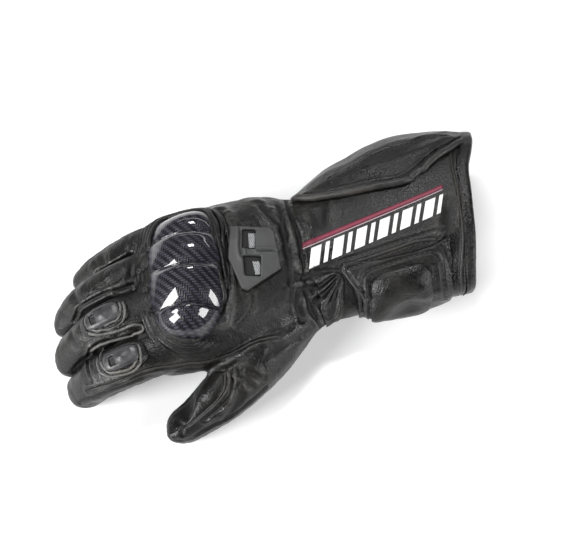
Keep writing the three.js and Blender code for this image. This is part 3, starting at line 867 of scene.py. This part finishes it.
skins = {name: copyOf(hand, name + "_leather") for name in ("gauntlet", "thumb", "hand_back", "hand_palm")}
for name, form in sheaths.items():
    skins[name] = copyOf(form, name + "_leather")
    cutAt(skins[name], rootPlane, True)
takeThumb(skins["thumb"], True)
for name in ("gauntlet", "hand_back", "hand_palm"):
    takeThumb(skins[name], False)
cutAt(skins["gauntlet"], wristPlane, True)
for name, beyond in (("hand_back", True), ("hand_palm", False)):
    cutAt(skins[name], wristPlane, False)
    cutAt(skins[name], rootPlane, False)
    cutAtSeam(skins[name], beyond)
for name, obj in skins.items():
    mesh = obj.data
    mesh.materials.append(leather)
    mesh.materials.append(lining)
    outer = mesh.attributes["outer"].data
    for face in mesh.polygons:
        face.material_index = int(outer[face.vertices[0]].value < 0.3)
    finish(obj, leather, "black_leather", [name])
for form in (hand, *sheaths.values()):
    form.obj.hide_render = form.obj.hide_viewport = True
print("leather cut into its panels", {name: len(obj.data.polygons) for name, obj in skins.items()})

# padded and laid-on leather: the voxel's size in mm and the rounds of smoothing
trim = dict(
    index_pad=dict(voxel=0.45, relax=5, padded=0.8),
    middle_pad=dict(voxel=0.45, relax=5, padded=0.8),
    ring_pad=dict(voxel=0.5, relax=30, padded=0.8, feather=(-0.8, 0.85), soften=110),
    gauntlet_flap=dict(voxel=0.8, relax=8, quiet=0.5),
    closure_strap=dict(voxel=0.8, relax=6, quiet=0.5),
    strap_pad=dict(voxel=0.7, relax=22, padded=0.8),
    wrist_gather=dict(voxel=0.6, relax=4, padded=0.5),
    cuff_binding=dict(voxel=0.7, relax=22, quiet=0.5),
)
trimSeams = dict(
    gauntlet_flap=[
        groove(0.8, 0.7, 0.3, (330, 178), (354, 165.5), (375.7, 153.5), (405, 145.4), (424, 137), (444, 136)),
        groove(0.6, 0.7, 0.5, (305, 195), (330, 192), (370, 183), (403, 176.5), (432, 154), (455, 138)),
    ],
    closure_strap=[
        groove(0.6, 0.6, 0.25, (347, 269.5), (369, 261), (397.6, 251), (415, 245), (440, 242)),
        groove(0.6, 0.6, 0.25, (347, 272), (356, 284), (369, 299), (372, 316)),
        groove(0.7, 0.7, 0.4, (443, 238), (450, 264), (456, 297)),
        groove(0.7, 0.8, 0.4, (364, 306), (364, 275), (386, 264), (415, 255.5), (433, 252), (441, 262), (444, 298)),
    ],
)
guard = dict(centre=(-56.28, 10.8), across=(0.288, 0.958), crown=10.4, edge=1.2, valleys=(-17.5, 7.5, 29),
             crest=0.78, deep=0.5, sink=2.2, bow=1.2, columns=200, bands=110, weave=1.25, thick=1.4, rimLevel=49,
             flat=0.72, endRound=11, endCurve=0.6, lip=0.36, worn=(3.4, 0.8))
# the guard's edge in the photograph, from the little finger's end: on the fingers' side and on the wrist's
guardEdge = dict(
    front=[(186, 216), (168, 218), (157.5, 225.5), (152.8, 239), (150.3, 259), (151, 284), (153.6, 302), (157.4, 319),
           (165, 332), (178, 339.5)],
    far=[(190, 216), (205.5, 217.5), (212, 224.5), (214, 241), (217.5, 259), (220.8, 284), (221, 300), (218, 316),
         (210.5, 330), (198, 338.5), (182, 340.3)],
)
# the welt's rings: how far each lies outside the guard's edge, how high over the hand, and how thick; ridge and fall
# give its relief from the distance to the nearest ring, painted lighter on the crests as painted highlight and darker
# between them as painted shade
welt = dict(rings=((-0.6, 3.6, 1.6), (2.3, 2.6, 1.5), (5.0, 1.2, 1.5), (7.6, 0.1, 1.4)), voxel=0.45, smooth=1,
            even=6, ridge=1.5, fall=1.15, padded=0.8)
fingerRings = ((0.66, 1.1), (0.79, 0.75), (0.92, 0.7))  # how far out on a pad each groove runs, and how deep
padRidges = dict(grooves=dict(index_pad=fingerRings, middle_pad=fingerRings), wide=0.05, crest=0.4, beside=0.065,
                 square=3)
pads = dict(index_pad=("index_finger", 13, 7.6), middle_pad=("middle_finger", 13, 7.8),
            ring_pad=("ring_finger", 11, 7))
sliders = dict(index_slider=("index_finger", 8.4, 4.4), middle_slider=("middle_finger", 8.6, 4.4))


def guardPlan(u, v):  # a place on the guard's own axes, over the knuckles and along the hand, in plan
    ax, ay = guard["across"]
    return np.stack([guard["centre"][0] + u * ax + v * ay, guard["centre"][1] + u * ay - v * ax], -1)


def guardAxes(points):
    ax, ay = guard["across"]
    x, y = points[:, 0] - guard["centre"][0], points[:, 1] - guard["centre"][1]
    return x * ax + y * ay, x * ay - y * ax


def padAxes(node, digit, long, wide, points):  # place on a pad, as shares of its half length and half width
    line = digitLines[digit]
    low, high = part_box(node)
    centre = np.array((low + high) / 2) / mm
    near = np.argmin(np.linalg.norm(line - centre, axis=1))
    along = line[min(near + 2, len(line) - 1)] - line[near - 2]
    along /= np.linalg.norm(along)
    side = np.cross(along, centre - line[near])
    side /= np.linalg.norm(side)
    return (points - centre) @ along / long, (points - centre) @ side / wide, (centre, along, side)


def basePowers(plan):
    x, y = (plan[..., 0] - guard["centre"][0]) / 50, (plan[..., 1] - guard["centre"][1]) / 50
    return np.stack([x ** i * y ** j for i in range(4) for j in range(4 - i)], -1)


handTree = treeOf(hand)
basePlaces = np.array([guardPlan(u, v) for u in range(-42, 52, 7) for v in range(-24, 24, 6)])
baseHits = [handTree.ray_cast(Vector((x, y, 200)), Vector((0, 0, -1)))[0] for x, y in basePlaces]
baseHits = np.array([hit for hit in baseHits if hit])
baseFit = np.linalg.lstsq(basePowers(baseHits), baseHits[:, 2], rcond=None)[0]


def baseUnder(plan):  # a smooth level of the back of the hand under places in plan
    return basePowers(plan) @ baseFit


def guardRimSide(pixels):  # one side of the guard's edge on its own axes
    places = []
    for px, py in pixels:
        sight = np.array(sightLine(px, py))
        level = guard["rimLevel"]
        for _ in range(4):
            place = np.array(eye) + sight * ((level - eye.z) / sight[2])
            level = baseUnder(place[:2]) + guard["edge"]
        places.append(place)
    return np.column_stack([*guardAxes(np.array(places)), np.zeros(len(pixels))])


rimSides = {side: guardRimSide(pixels) for side, pixels in guardEdge.items()}
rimLoop = np.array([*rimSides["front"], *rimSides["far"][::-1]])
rimLoop = curveThrough([*rimLoop, rimLoop[0]], 1.5)

onCuff = ("gauntlet_flap", "closure_strap", "strap_pad", "cuff_binding")
mouth = dict(normal=(0.956, -0.292, 0), thins=8, flap=5, flapReach=16)
feather = dict(facing=(0.2, 0.6), rest=0.15, most=4)


def featherOver(form, under, share, soften=3):  # thins a laid-on piece towards the leather under it
    tree = treeOf(under)
    hits = [tree.find_nearest(Vector(p)) for p in form.points]
    lifts = np.array([(Vector(p) - hit[0]).dot(hit[1]) for p, hit in zip(form.points, hits)])
    outs = np.array([hit[1] for hit in hits])
    thin = share * (lifts > 0) * ease(*feather["facing"], (outs * form.normals).sum(1))
    form.points -= (thin * np.clip(lifts - feather["rest"], 0, feather["most"]))[:, None] * outs
    form.write()
    form.relax(soften)


trims = {}
for name, plan in trim.items():
    form = grow(name + "_soft", [name], plan["voxel"], plan["relax"])
    if name in onCuff:
        followCuff(form)
    form.push(plan.get("quiet", 1) * worn(form.points, lumps=(0.16, 11), wrinkles=(0.12, 6)))
    upward = ease(0.1, 0.5, form.normals[:, 2])
    if name in pads:
        u, v, _ = padAxes(name, *pads[name], form.points)
        radius = (np.abs(u) ** padRidges["square"] + np.abs(v) ** padRidges["square"]) ** (1 / padRidges["square"])
        for at, deep in padRidges["grooves"].get(name, []):
            form.push(-upward * deep * mound(radius - at, padRidges["wide"]))
            form.push(upward * padRidges["crest"] * mound(radius - at - padRidges["beside"], padRidges["wide"]))
    for seam in trimSeams.get(name, []):
        sew(form, np.ones(len(form.points)), seam, fromPhoto(seam["pixels"], treeOf(form)))
    if name == "wrist_gather":
        fanFolds(form, np.ones(len(form.points)))
    depth = form.points @ np.array(mouth["normal"])
    if name == "gauntlet_flap":  # its end reaches over the turned edge of the mouth
        longer = mouth["flap"] * ease(-mouth["flapReach"], 0, depth - depth.max())
        form.points += longer[:, None] * np.array(mouth["normal"])
        form.write()
    if name == "cuff_binding":  # the turned edge thins out where it lies on the cuff
        featherOver(form, skins["gauntlet"], 1 - ease(0, mouth["thins"], depth - depth.min()))
    if "feather" in plan:
        featherOver(form, skins[pads[name][0]], ease(*plan["feather"], radius), plan["soften"])
        form.detail = form.detail * 0
    trims[name] = form
    form.attribute("relief", form.detail)
    finish(form.obj, softLeather, "black_leather", [name], plan.get("padded"))
print("trim:", {name: len(form.points) for name, form in trims.items()})

# the thumb's padded panel, between its edges in the photograph, from the web to the tip
panel = dict(
    outer=[(212, 370), (204.5, 380), (197.5, 389.5), (188.5, 400.5), (181.5, 410.5), (177, 417), (176.5, 422)],
    inner=[(226, 370), (226, 377), (223.8, 391.5), (214.8, 403.3), (203.8, 412.7), (192, 421.8), (181.5, 424)],
    columns=60, bands=34, even=14, lift=0.25, crown=1.5, long=0.7, round=0.6, sunk=0.9, border=0.3, thick=1.2,
    padded=0.7,
)


def makePanel():
    bm = gridOf(panel["columns"], panel["bands"])
    along, across = np.array([v.co[:2] for v in bm.verts]).T + 0.5
    ends = []
    for side in ("outer", "inner"):
        edge = curveThrough(panel[side], 1.0)
        ends.append(np.stack([np.interp(along, np.linspace(0, 1, len(edge)), edge[:, k]) for k in range(2)], 1))
    tree = treeOf(skins["thumb"], skins["hand_back"], skins["hand_palm"])
    sights = [sightLine(*pixel) for pixel in ends[0] + (ends[1] - ends[0]) * across[:, None]]
    for vert, (hit, _) in zip(bm.verts, laidOn(tree, sights)):
        vert.co = hit * mm
    bmesh.ops.recalc_face_normals(bm, faces=bm.faces)
    form = Form(fromBmesh("thumb_pad_soft", bm))
    form.points = form.spread(form.points, panel["even"])
    form.write()
    side = 1 if (form.normals @ np.array(back)).mean() > 0 else -1
    middle = np.sin(math.pi * across) * np.sin(math.pi * along) ** panel["long"]
    height = panel["lift"] + panel["crown"] * middle ** panel["round"]
    form.push(side * (height - panel["sunk"] * ease(panel["border"], 0.0, middle)), False)
    addWall(form.obj, panel["thick"], -side)
    bm = opened(form.obj)
    bmesh.ops.recalc_face_normals(bm, faces=bm.faces)
    putBack(bm, form.obj)
    return Form(form.obj)


trims["thumb_pad"] = makePanel()
finish(trims["thumb_pad"].obj, softLeather, "black_leather", ["thumb_pad"], panel["padded"])
press = dict(above=7.0, below=2.5, gap=0.45, most=3.5, past=0.01, around=2)  # mm to look out and in, and to sink


def pressUnder(obj, over):  # sinks leather that would show through what lies on it
    form = Form(obj)
    outer = readAll(obj.data.attributes["outer"].data, "value", 1)[:, 0]
    tree = treeOf(*over)
    vertices = np.concatenate([cover.points for cover in over])
    low, high = vertices.min(0) - press["around"], vertices.max(0) + press["around"]
    nearby = np.flatnonzero(np.all((form.points > low) & (form.points < high), axis=1) & (outer > 0.5))
    moved = 0
    for i in nearby:
        point, normal = Vector(form.points[i]), Vector(form.normals[i])
        start, left, sunk = point + normal * press["above"], press["above"] + press["below"], None
        while left > 0:
            hit, out, _, run = tree.ray_cast(start, -normal, left)
            if hit is None:
                break
            if out.dot(normal) < 0:
                sunk = (hit - point).dot(normal) - press["gap"]
            start, left = hit - normal * press["past"], left - run - press["past"]
        if sunk is not None and sunk < 0:
            form.points[i] += np.array(normal) * max(sunk, -press["most"])
            moved += 1
    form.write()
    return moved


pressed = {}
for name, over in dict(index_finger=["index_pad"], middle_finger=["middle_pad"], ring_finger=["ring_pad"],
                       thumb=["thumb_pad"], gauntlet=["gauntlet_flap", "closure_strap", "cuff_binding"],
                       hand_back=["wrist_gather"]).items():
    pressed[name] = pressUnder(skins[name], [trims[n] for n in over])
print("leather pressed under its trim:", pressed)

# the knuckle guard: a thin domed shell with four humps, inside the welt's rings
def makeGuard():
    bm = gridOf(guard["columns"], guard["bands"])
    weave = bm.loops.layers.uv.new("weave")
    place = np.array([v.co[:2] for v in bm.verts]) + 0.5
    sides = {side: curveThrough(line, 0.8)[::-1] for side, line in rimSides.items()}
    lowest = max(line[:, 0].min() for line in sides.values())
    highest = min(line[:, 0].max() for line in sides.values())
    u = lowest + (highest - lowest) * gathered(place[:, 0], 0.75)
    front, far = (np.interp(u, *sides[side][np.argsort(sides[side][:, 0])].T[:2]) for side in ("front", "far"))
    share = gathered(place[:, 1], 0.65)
    v = front + (far - front) * share
    bulge = np.sin(math.pi * share)
    borders = np.array([lowest, *guard["valleys"], highest])
    bowed = np.clip(u - guard["bow"] * bulge, lowest, highest)
    number = np.clip(np.searchsorted(borders, bowed) - 1, 0, len(borders) - 2)
    t = (bowed - borders[number]) / (borders[number + 1] - borders[number])
    low = np.clip(1 - t / guard["crest"], 0, 1) ** guard["sink"]
    steep = ease(guard["crest"], 1, t)
    low = np.where(number == 0, 0, low) + np.where(number == len(borders) - 2, 0, steep)
    ends = np.clip(np.minimum(u - lowest, highest - u) / guard["endRound"], 0, 1)
    crown = np.clip(bulge, 0, 1) ** guard["flat"] * (1 - (1 - ends) ** 2) ** guard["endCurve"]
    plan = guardPlan(u, v)
    level = baseUnder(plan) + guard["edge"] + guard["crown"] * crown * (1 - guard["deep"] * low)
    lip = mound(t - guard["crest"] + 0.02, 0.1) * (number < len(borders) - 2)
    level += guard["lip"] * lip * crown
    fromRim = np.minimum(np.minimum(v - front, far - v), np.minimum(u - lowest, highest - u))
    for vert, (x, y), z in zip(bm.verts, plan, level):
        vert.co = (x * mm, y * mm, z * mm)
    for face in bm.faces:
        for loop in face.loops:
            i = loop.vert.index
            loop[weave].uv = (u[i] / guard["weave"], v[i] / guard["weave"])
    rim = bm.verts.layers.float.new("rim")
    for vert, value in zip(bm.verts, ease(*guard["worn"], fromRim)):
        vert[rim] = value
    bmesh.ops.recalc_face_normals(bm, faces=bm.faces)
    obj = fromBmesh("knuckle_guard_shell", bm)
    addWall(obj, guard["thick"], -1)
    return obj


finish(makeGuard(), carbonFinish(), "carbon_guard", ["knuckle_guard"])


def weltRing(out, lift):  # a loop outside the guard's edge, on the hand
    ahead = np.roll(rimLoop[:-1], -2, axis=0) - np.roll(rimLoop[:-1], 2, axis=0)
    ahead /= np.linalg.norm(ahead, axis=1)[:, None]
    middle = rimLoop[:-1].mean(0)
    side = np.stack([ahead[:, 1], -ahead[:, 0]], -1)
    side *= np.sign(((rimLoop[:-1] - middle)[:, :2] * side).sum(1))[:, None]
    plan = guardPlan(*(rimLoop[:-1, :2] + out * side).T)
    ring = settle(np.column_stack([plan, baseUnder(plan)]), handTree, lift)[0]
    for _ in range(welt["even"]):
        ring = (np.roll(ring, 1, axis=0) + 2 * ring + np.roll(ring, -1, axis=0)) / 4
    return np.array([*ring, ring[0], ring[1]])


def makeWelt():
    bm = bmesh.new()
    rings = [weltRing(out, lift) for out, lift, _ in welt["rings"]]
    for ring, (_, _, radius) in zip(rings, welt["rings"]):
        tube = tubeAlong("welt ring", ring, radius, 16)
        bm.from_mesh(tube.data)
        bpy.data.objects.remove(tube)
    obj = fromBmesh("knuckle_surround_welt", bm)
    voxelRemesh(obj, welt["voxel"])
    form = Form(obj)
    form.relax(welt["smooth"], 0.6)
    # relief by distance to the rings, not by pushing: the crests get a painted highlight and the hollows between the
    # rings painted shade
    nearest = np.min([nearLine(form.points, ring)[0] for ring in rings], axis=0)
    form.detail = welt["ridge"] - welt["fall"] * nearest
    form.push(worn(form.points, lumps=(0.12, 8), wrinkles=(0.1, 5)), False)
    form.attribute("relief", form.detail)
    return obj


finish(makeWelt(), softLeather, "black_leather", ["knuckle_surround"], welt["padded"])
print("guard ready")

# the other hard pieces
hard = dict(
    back_plate=dict(voxel=0.45, relax=5, slot="grey_plate"),
    vent_mesh_upper=dict(voxel=0.4, relax=3, slot="silver_mesh"),
    vent_mesh_lower=dict(voxel=0.4, relax=3, slot="silver_mesh"),
    index_slider=dict(voxel=0.35, relax=5, slot="slider_plastic"),
    middle_slider=dict(voxel=0.35, relax=5, slot="slider_plastic"),
)
plateSeams = [
    groove(0.8, 0.6, 0.25, (258, 250), (268, 250), (279, 250.5)),
    groove(0.7, 0.8, 0.3, (240.5, 228), (240.5, 240), (241, 251), (247, 267), (253, 282)),
]
# the slot is only pushed in; the moulded finish paints it near-black as painted shade
slit = dict(at=0.66, long=(0.25, 0.15), wide=(0.75, 0.5), deep=1.5)  # the dark slot at a slider's far end
hump = dict(at=-0.1, long=0.3, wide=0.5, high=0.5)
hardLooks = dict(
    grey_plate=mouldedFinish("grey moulded rubber", (0.024, 0.0245, 0.025), (0.055, 0.0555, 0.056), 0.46),
    # the vent mesh is painted near-black as the shade deep in each window; the silver cloth is laid only where it is
    # lit
    silver_mesh=mouldedFinish("vent mesh painted dark as window shade", (0.004, 0.004, 0.004), (0.012, 0.012, 0.012), 0.8, 0.8),
    slider_plastic=mouldedFinish("dark slider plastic", (0.014, 0.014, 0.015), (0.06, 0.06, 0.063), 0.28),
)
forms = {}
for name, plan in hard.items():
    form = grow(name + "_form", [name], plan["voxel"], plan["relax"])
    if name == "back_plate":
        for seam in plateSeams:
            sew(form, np.ones(len(form.points)), seam, fromPhoto(seam["pixels"], treeOf(form)))
    if name in sliders:
        u, v, _ = padAxes(name, *sliders[name], form.points)
        upward = ease(0.2, 0.6, form.normals[:, 2])
        slot = ease(*slit["long"], np.abs(u - slit["at"])) * ease(*slit["wide"], np.abs(v))
        form.push(-upward * slit["deep"] * slot)
        raised = mound(u - hump["at"], hump["long"]) * mound(v, hump["wide"])
        form.push(upward * hump["high"] * raised, False)
    form.attribute("relief", form.detail)
    finish(form.obj, hardLooks[plan["slot"]], plan["slot"], [name])
    forms[name] = form

silver = silverFinish()
patches = dict(  # corners in the photograph of the bright cloth in each window
    upper=[(248, 233.5), (256.6, 234), (256.6, 248), (249, 248)],
    lower=[(252.2, 261.5), (259, 261.5), (262.6, 274.5), (255.5, 274.8)],
)


def sheetOver(name, corners, tree, columns, bands, lift, thick):  # a thin film laid on a surface
    bm = gridOf(columns, bands)
    a, b, c, d = (np.array(corner, float) for corner in corners)
    shares = [(vert.co.x + 0.5, 0.5 - vert.co.y) for vert in bm.verts]
    sights = [sightLine(*((a * (1 - u) + b * u) * (1 - v) + (d * (1 - u) + c * u) * v)) for u, v in shares]
    for vert, (hit, normal) in zip(bm.verts, laidOn(tree, sights)):
        vert.co = (hit + normal * lift) * mm
    bmesh.ops.solidify(bm, geom=bm.faces[:], thickness=thick * mm)
    bmesh.ops.recalc_face_normals(bm, faces=bm.faces)
    obj = fromBmesh(name, bm)
    obj.data.shade_smooth()
    return obj


for name, corners in patches.items():
    patch = sheetOver(f"vent_patch_{name}", corners, treeOf(forms[f"vent_mesh_{name}"]), 14, 22, 0.45, 0.3)
    finish(patch, silver, "silver_mesh")
print("hard pieces ready")

# print on the cuff: a plain row of slanted bars over a crimson stripe, by the photograph's pixels
band = dict(topLeft=(306.5, 250), topRight=(446, 193), bottomLeft=(309, 269), bottomRight=(447.5, 210), slant=0.035)
bars = [0.075, 0.03] * 6
barGap = 0.0295
stripe = [(302, 243), (443.5, 184.5), (444, 188), (302.6, 247.5)]
stripeLine = [(302.8, 248.2), (444, 188.9), (444, 189.7), (303, 249.2)]
white = printFinish("white print", (0.8, 0.8, 0.8))
crimson = printFinish("crimson print", (0.16, 0.012, 0.035))
pale = printFinish("pale print", (0.42, 0.3, 0.33))
printTree = treeOf(*skins.values())


def onBand(u, v):  # a place on the row of bars, in pixels
    top = np.array(band["topLeft"]) * (1 - u) + np.array(band["topRight"]) * u
    bottom = np.array(band["bottomLeft"]) * (1 - u) + np.array(band["bottomRight"]) * u
    return tuple(top * (1 - v) + bottom * v)


at = 0.0
for number, wide in enumerate(bars):
    corners = [onBand(at + band["slant"] * (1 - v) + w, v) for w, v in ((0, 0), (wide, 0), (wide, 1), (0, 1))]
    bar = sheetOver(f"cuff_bar_{number + 1}", corners, printTree, 8, 12, 0.1, 0.12)
    finish(bar, white, "black_leather")
    at += wide + barGap
finish(sheetOver("crimson_stripe", stripe, printTree, 90, 3, 0.1, 0.12), crimson, "black_leather")
finish(sheetOver("pale_line", stripeLine, printTree, 90, 2, 0.1, 0.12), pale, "black_leather")
print("print ready")

# piping and stitches
outerTree = treeOf(*skins.values(), *trims.values())


def seen(*pixels):  # the line along pixels of the photograph on the leather and its trim
    return fromPhoto(pixels, outerTree)


def sunkEnds(line, lift, bury=1.6, even=4):  # a line that rises out of the leather and sinks into it again
    places, outs = settle(line, outerTree)
    for _ in range(even):
        places[1:-1] = (places[:-2] + 2 * places[1:-1] + places[2:]) / 4
    rise = lift - bury * mound(np.minimum(np.arange(len(line)), np.arange(len(line))[::-1]), 1.5)
    return places + outs * rise[:, None]


piping = dict(
    side_piping=dict(line=seamLines["thumbSide"], radius=0.75, lift=0.35),
    flap_piping=dict(line=seen((294, 197.5), (311, 198), (340, 193.5), (370, 187.5), (404, 180.5), (419, 172),
                               (434.6, 158), (450, 149), (462, 141)), radius=2.2, lift=0.7),
    strap_piping=dict(line=seen((368, 314), (365.5, 300), (352, 283), (342, 269.5), (347, 264.5), (369, 257.5),
                                (397.6, 247.5), (415, 241.5), (438, 238.5)), radius=0.8, lift=0.2),
    hem_piping=dict(line=seamLines["hemInner"], radius=0.8, lift=0.2),
    web_piping=dict(line=seen((88, 334), (103, 333.8), (118, 330), (131, 324.5), (140, 323.5), (145, 326.5),
                              (144, 331.5), (134, 335), (118, 339), (101, 344), (89, 352)), radius=1.0, lift=0.6),
)
for name, plan in piping.items():
    cord = tubeAlong(name, sunkEnds(plan["line"], plan["lift"]), plan["radius"])
    finish(cord, ridgeHighlightLeather if name == "web_piping" else cordLeather, "black_leather")


def ringOn(name, radius, count=60):  # points round a pad
    digit, long, wide = pads[name]
    centre, along, side = padAxes(name, digit, long, wide, np.zeros((1, 3)))[2]
    turn = np.linspace(0, 2 * math.pi, count)
    power = 2 / padRidges["square"]
    u = np.sign(np.cos(turn)) * np.abs(np.cos(turn)) ** power * long * radius
    v = np.sign(np.sin(turn)) * np.abs(np.sin(turn)) ** power * wide * radius
    return centre + u[:, None] * along + v[:, None] * side


stitching = dict(
    finger_stitches=[ringOn("index_pad", 0.82), ringOn("middle_pad", 0.82), seamLines["indexTip"] + (1.6, 0, 0),
                     seamLines["middleTip"] + (1.6, 0, 0)],
    hand_stitches=[seamLines["tabLeft"], seamLines["tabRight"]],
    cuff_stitches=[seamLines["hemInner"], seamLines["cuffSeam"], seen(*trimSeams["gauntlet_flap"][0]["pixels"]),
                   *[seen(*seam["pixels"]) for seam in trimSeams["closure_strap"]]],
)
for name, lines in stitching.items():
    finish(stitchesAlong(name, lines, outerTree), thread, "black_leather")
ridges = dict(  # corded ridges round the sliders and along the thumb's panel, by the photograph's pixels
    middle_ridge_1=[(89, 322.5), (93.3, 325.8), (103.3, 325.5), (113.3, 322), (120, 317.5), (121.5, 311.7),
                    (120.5, 305), (118, 301)],
    middle_ridge_2=[(86, 327), (91.7, 330.6), (103.3, 330.2), (115, 326.7), (122.8, 321.2), (125.4, 313.3),
                    (124.5, 306), (122, 300.5)],
    index_ridge_1=[(104, 348.8), (100, 356.7), (103.3, 369.5), (111.7, 373), (121.7, 371.3), (131.7, 368),
                   (137, 362.5), (136.7, 353.3), (133.5, 346)],
    index_ridge_2=[(97, 357), (99.6, 371.7), (106.7, 376), (123.3, 374.6), (136.7, 369.3), (141.2, 361.7),
                   (140.8, 349), (138, 344)],
    thumb_ridge_1=panel["inner"],
    thumb_ridge_2=[(229.5, 370), (230, 377), (227.5, 390), (222, 398.2), (211, 409), (199.3, 418.2), (190, 425),
                   (183, 427)],
)
for name, pixels in ridges.items():
    cord = tubeAlong(name, sunkEnds(seen(*pixels), lift=0.35, bury=1.2, even=10), 0.8)
    finish(cord, cordLeather if "thumb" in name else ridgeHighlightLeather, "black_leather")
print("piping and stitches ready")

# the outline's last touches: where in the photograph, how far in its pixels, and how wide in mm
nudges = [
    ((65, 334), (-6, 1), 9), ((62, 352), (-4, 1), 9), ((64, 372), (-2.5, 1), 9), ((64, 312), (-3, 0), 11),
    ((100, 252), (6, 3.5), 13), ((124, 238), (1, 1), 11), ((76, 283), (-2.5, 0), 9), ((166, 217), (0.5, 2.2), 12),
    ((202, 212), (0, -2.5), 10), ((230, 205), (0, 2), 8), ((174, 416), (8.5, 3), 8), ((184, 404), (6, 2.5), 8),
    ((173, 434), (-4.5, 3), 7), ((211, 428), (0.5, -2), 8), ((472, 166), (-6, 0), 14), ((473, 200), (-3, 0), 16),
    ((412, 312), (-0.5, -8), 11), ((374, 313), (-2, 7), 8), ((345, 311), (0, 4), 10), ((322, 322), (3, 3), 9),
    ((460, 287), (3.5, 3.5), 11), ((276, 204), (0, 3), 8), ((392, 142), (0, -2.5), 13), ((344, 159), (1, 2.5), 10),
    ((170, 366), (0, 1.5), 9),
]
missed = (0, 0, -900)  # a place far below, for a pixel beside the glove
ahead = Vector((-right.y, right.x, 0))
wholeTree = treeOf(*pieces.values())
moves = []
for at, (dx, dy), wide in nudges:
    place = np.array(wholeTree.ray_cast(eye, sightLine(*at))[0] or missed)
    step = right * dx - ahead * dy / above.dot(ahead)
    moves.append((place, np.array(step) * studio["distance"] * pixelSize, wide))
for obj in pieces.values():
    form = Form(obj)
    form.points += sum(mound(np.linalg.norm(form.points - place, axis=1), wide)[:, None] * step
                       for place, step, wide in moves)
    form.points[:, 2] = np.maximum(form.points[:, 2], floorGap)
    form.write()
print("outline touched up")

for obj in list(bpy.data.objects):  # working copies
    if obj.type == "MESH" and obj.name not in pieces and obj.name not in frame["nodes"]:
        bpy.data.objects.remove(obj)

# floor, light and camera
lights = dict(
    left=dict(turn=-50, tilt=12, away=1.2, wide=0.5, high=0.6, power=20),
    right=dict(turn=52, tilt=10, away=1.2, wide=0.4, high=0.5, power=9.5),
    cuff=dict(turn=-10, tilt=-44, away=1.6, wide=0.45, high=0.2, power=13),
    top=dict(turn=2, tilt=-80, away=1.8, wide=3.2, high=0.14, power=7.5),
)


def addLight(name, plan):  # turn to the right of the camera and tilt down from it, in degrees
    turn, tilt = math.radians(plan["turn"]), math.radians(plan["tilt"])
    aim = Vector(studio["target"]) * mm
    out = back * math.cos(turn) * math.cos(tilt) + right * math.sin(turn) * math.cos(tilt) - above * math.sin(tilt)
    data = bpy.data.lights.new(name, "AREA")
    data.shape = "RECTANGLE"
    data.size, data.size_y, data.energy = plan["wide"], plan["high"], plan["power"]
    light = addObject(name, data)
    light.location = aim + out * plan["away"]
    light.rotation_euler = (-out).to_track_quat("-Z", "Y").to_euler()


for name, plan in lights.items():
    addLight(name + " softbox", plan)

floor = fromBmesh("floor", gridOf(8, 8, 4))
floor.data.materials.append(floorFinish())

world = bpy.data.worlds.new("studio")
world.use_nodes = True
world.node_tree.nodes["Background"].inputs["Color"].default_value = (0.95, 0.97, 1.0, 1)
world.node_tree.nodes["Background"].inputs["Strength"].default_value = 0.05
bpy.context.scene.world = world
bpy.context.scene.view_settings.view_transform = "Standard"

data = bpy.data.cameras.new("camera")
data.lens, data.sensor_width, data.clip_end = studio["lens"], studio["sensor"], 20
camera = addObject("camera", data)
camera.location = eye * mm
camera.rotation_euler = Matrix((right, above, back)).transposed().to_euler()
bpy.context.scene.camera = camera
print("studio ready")
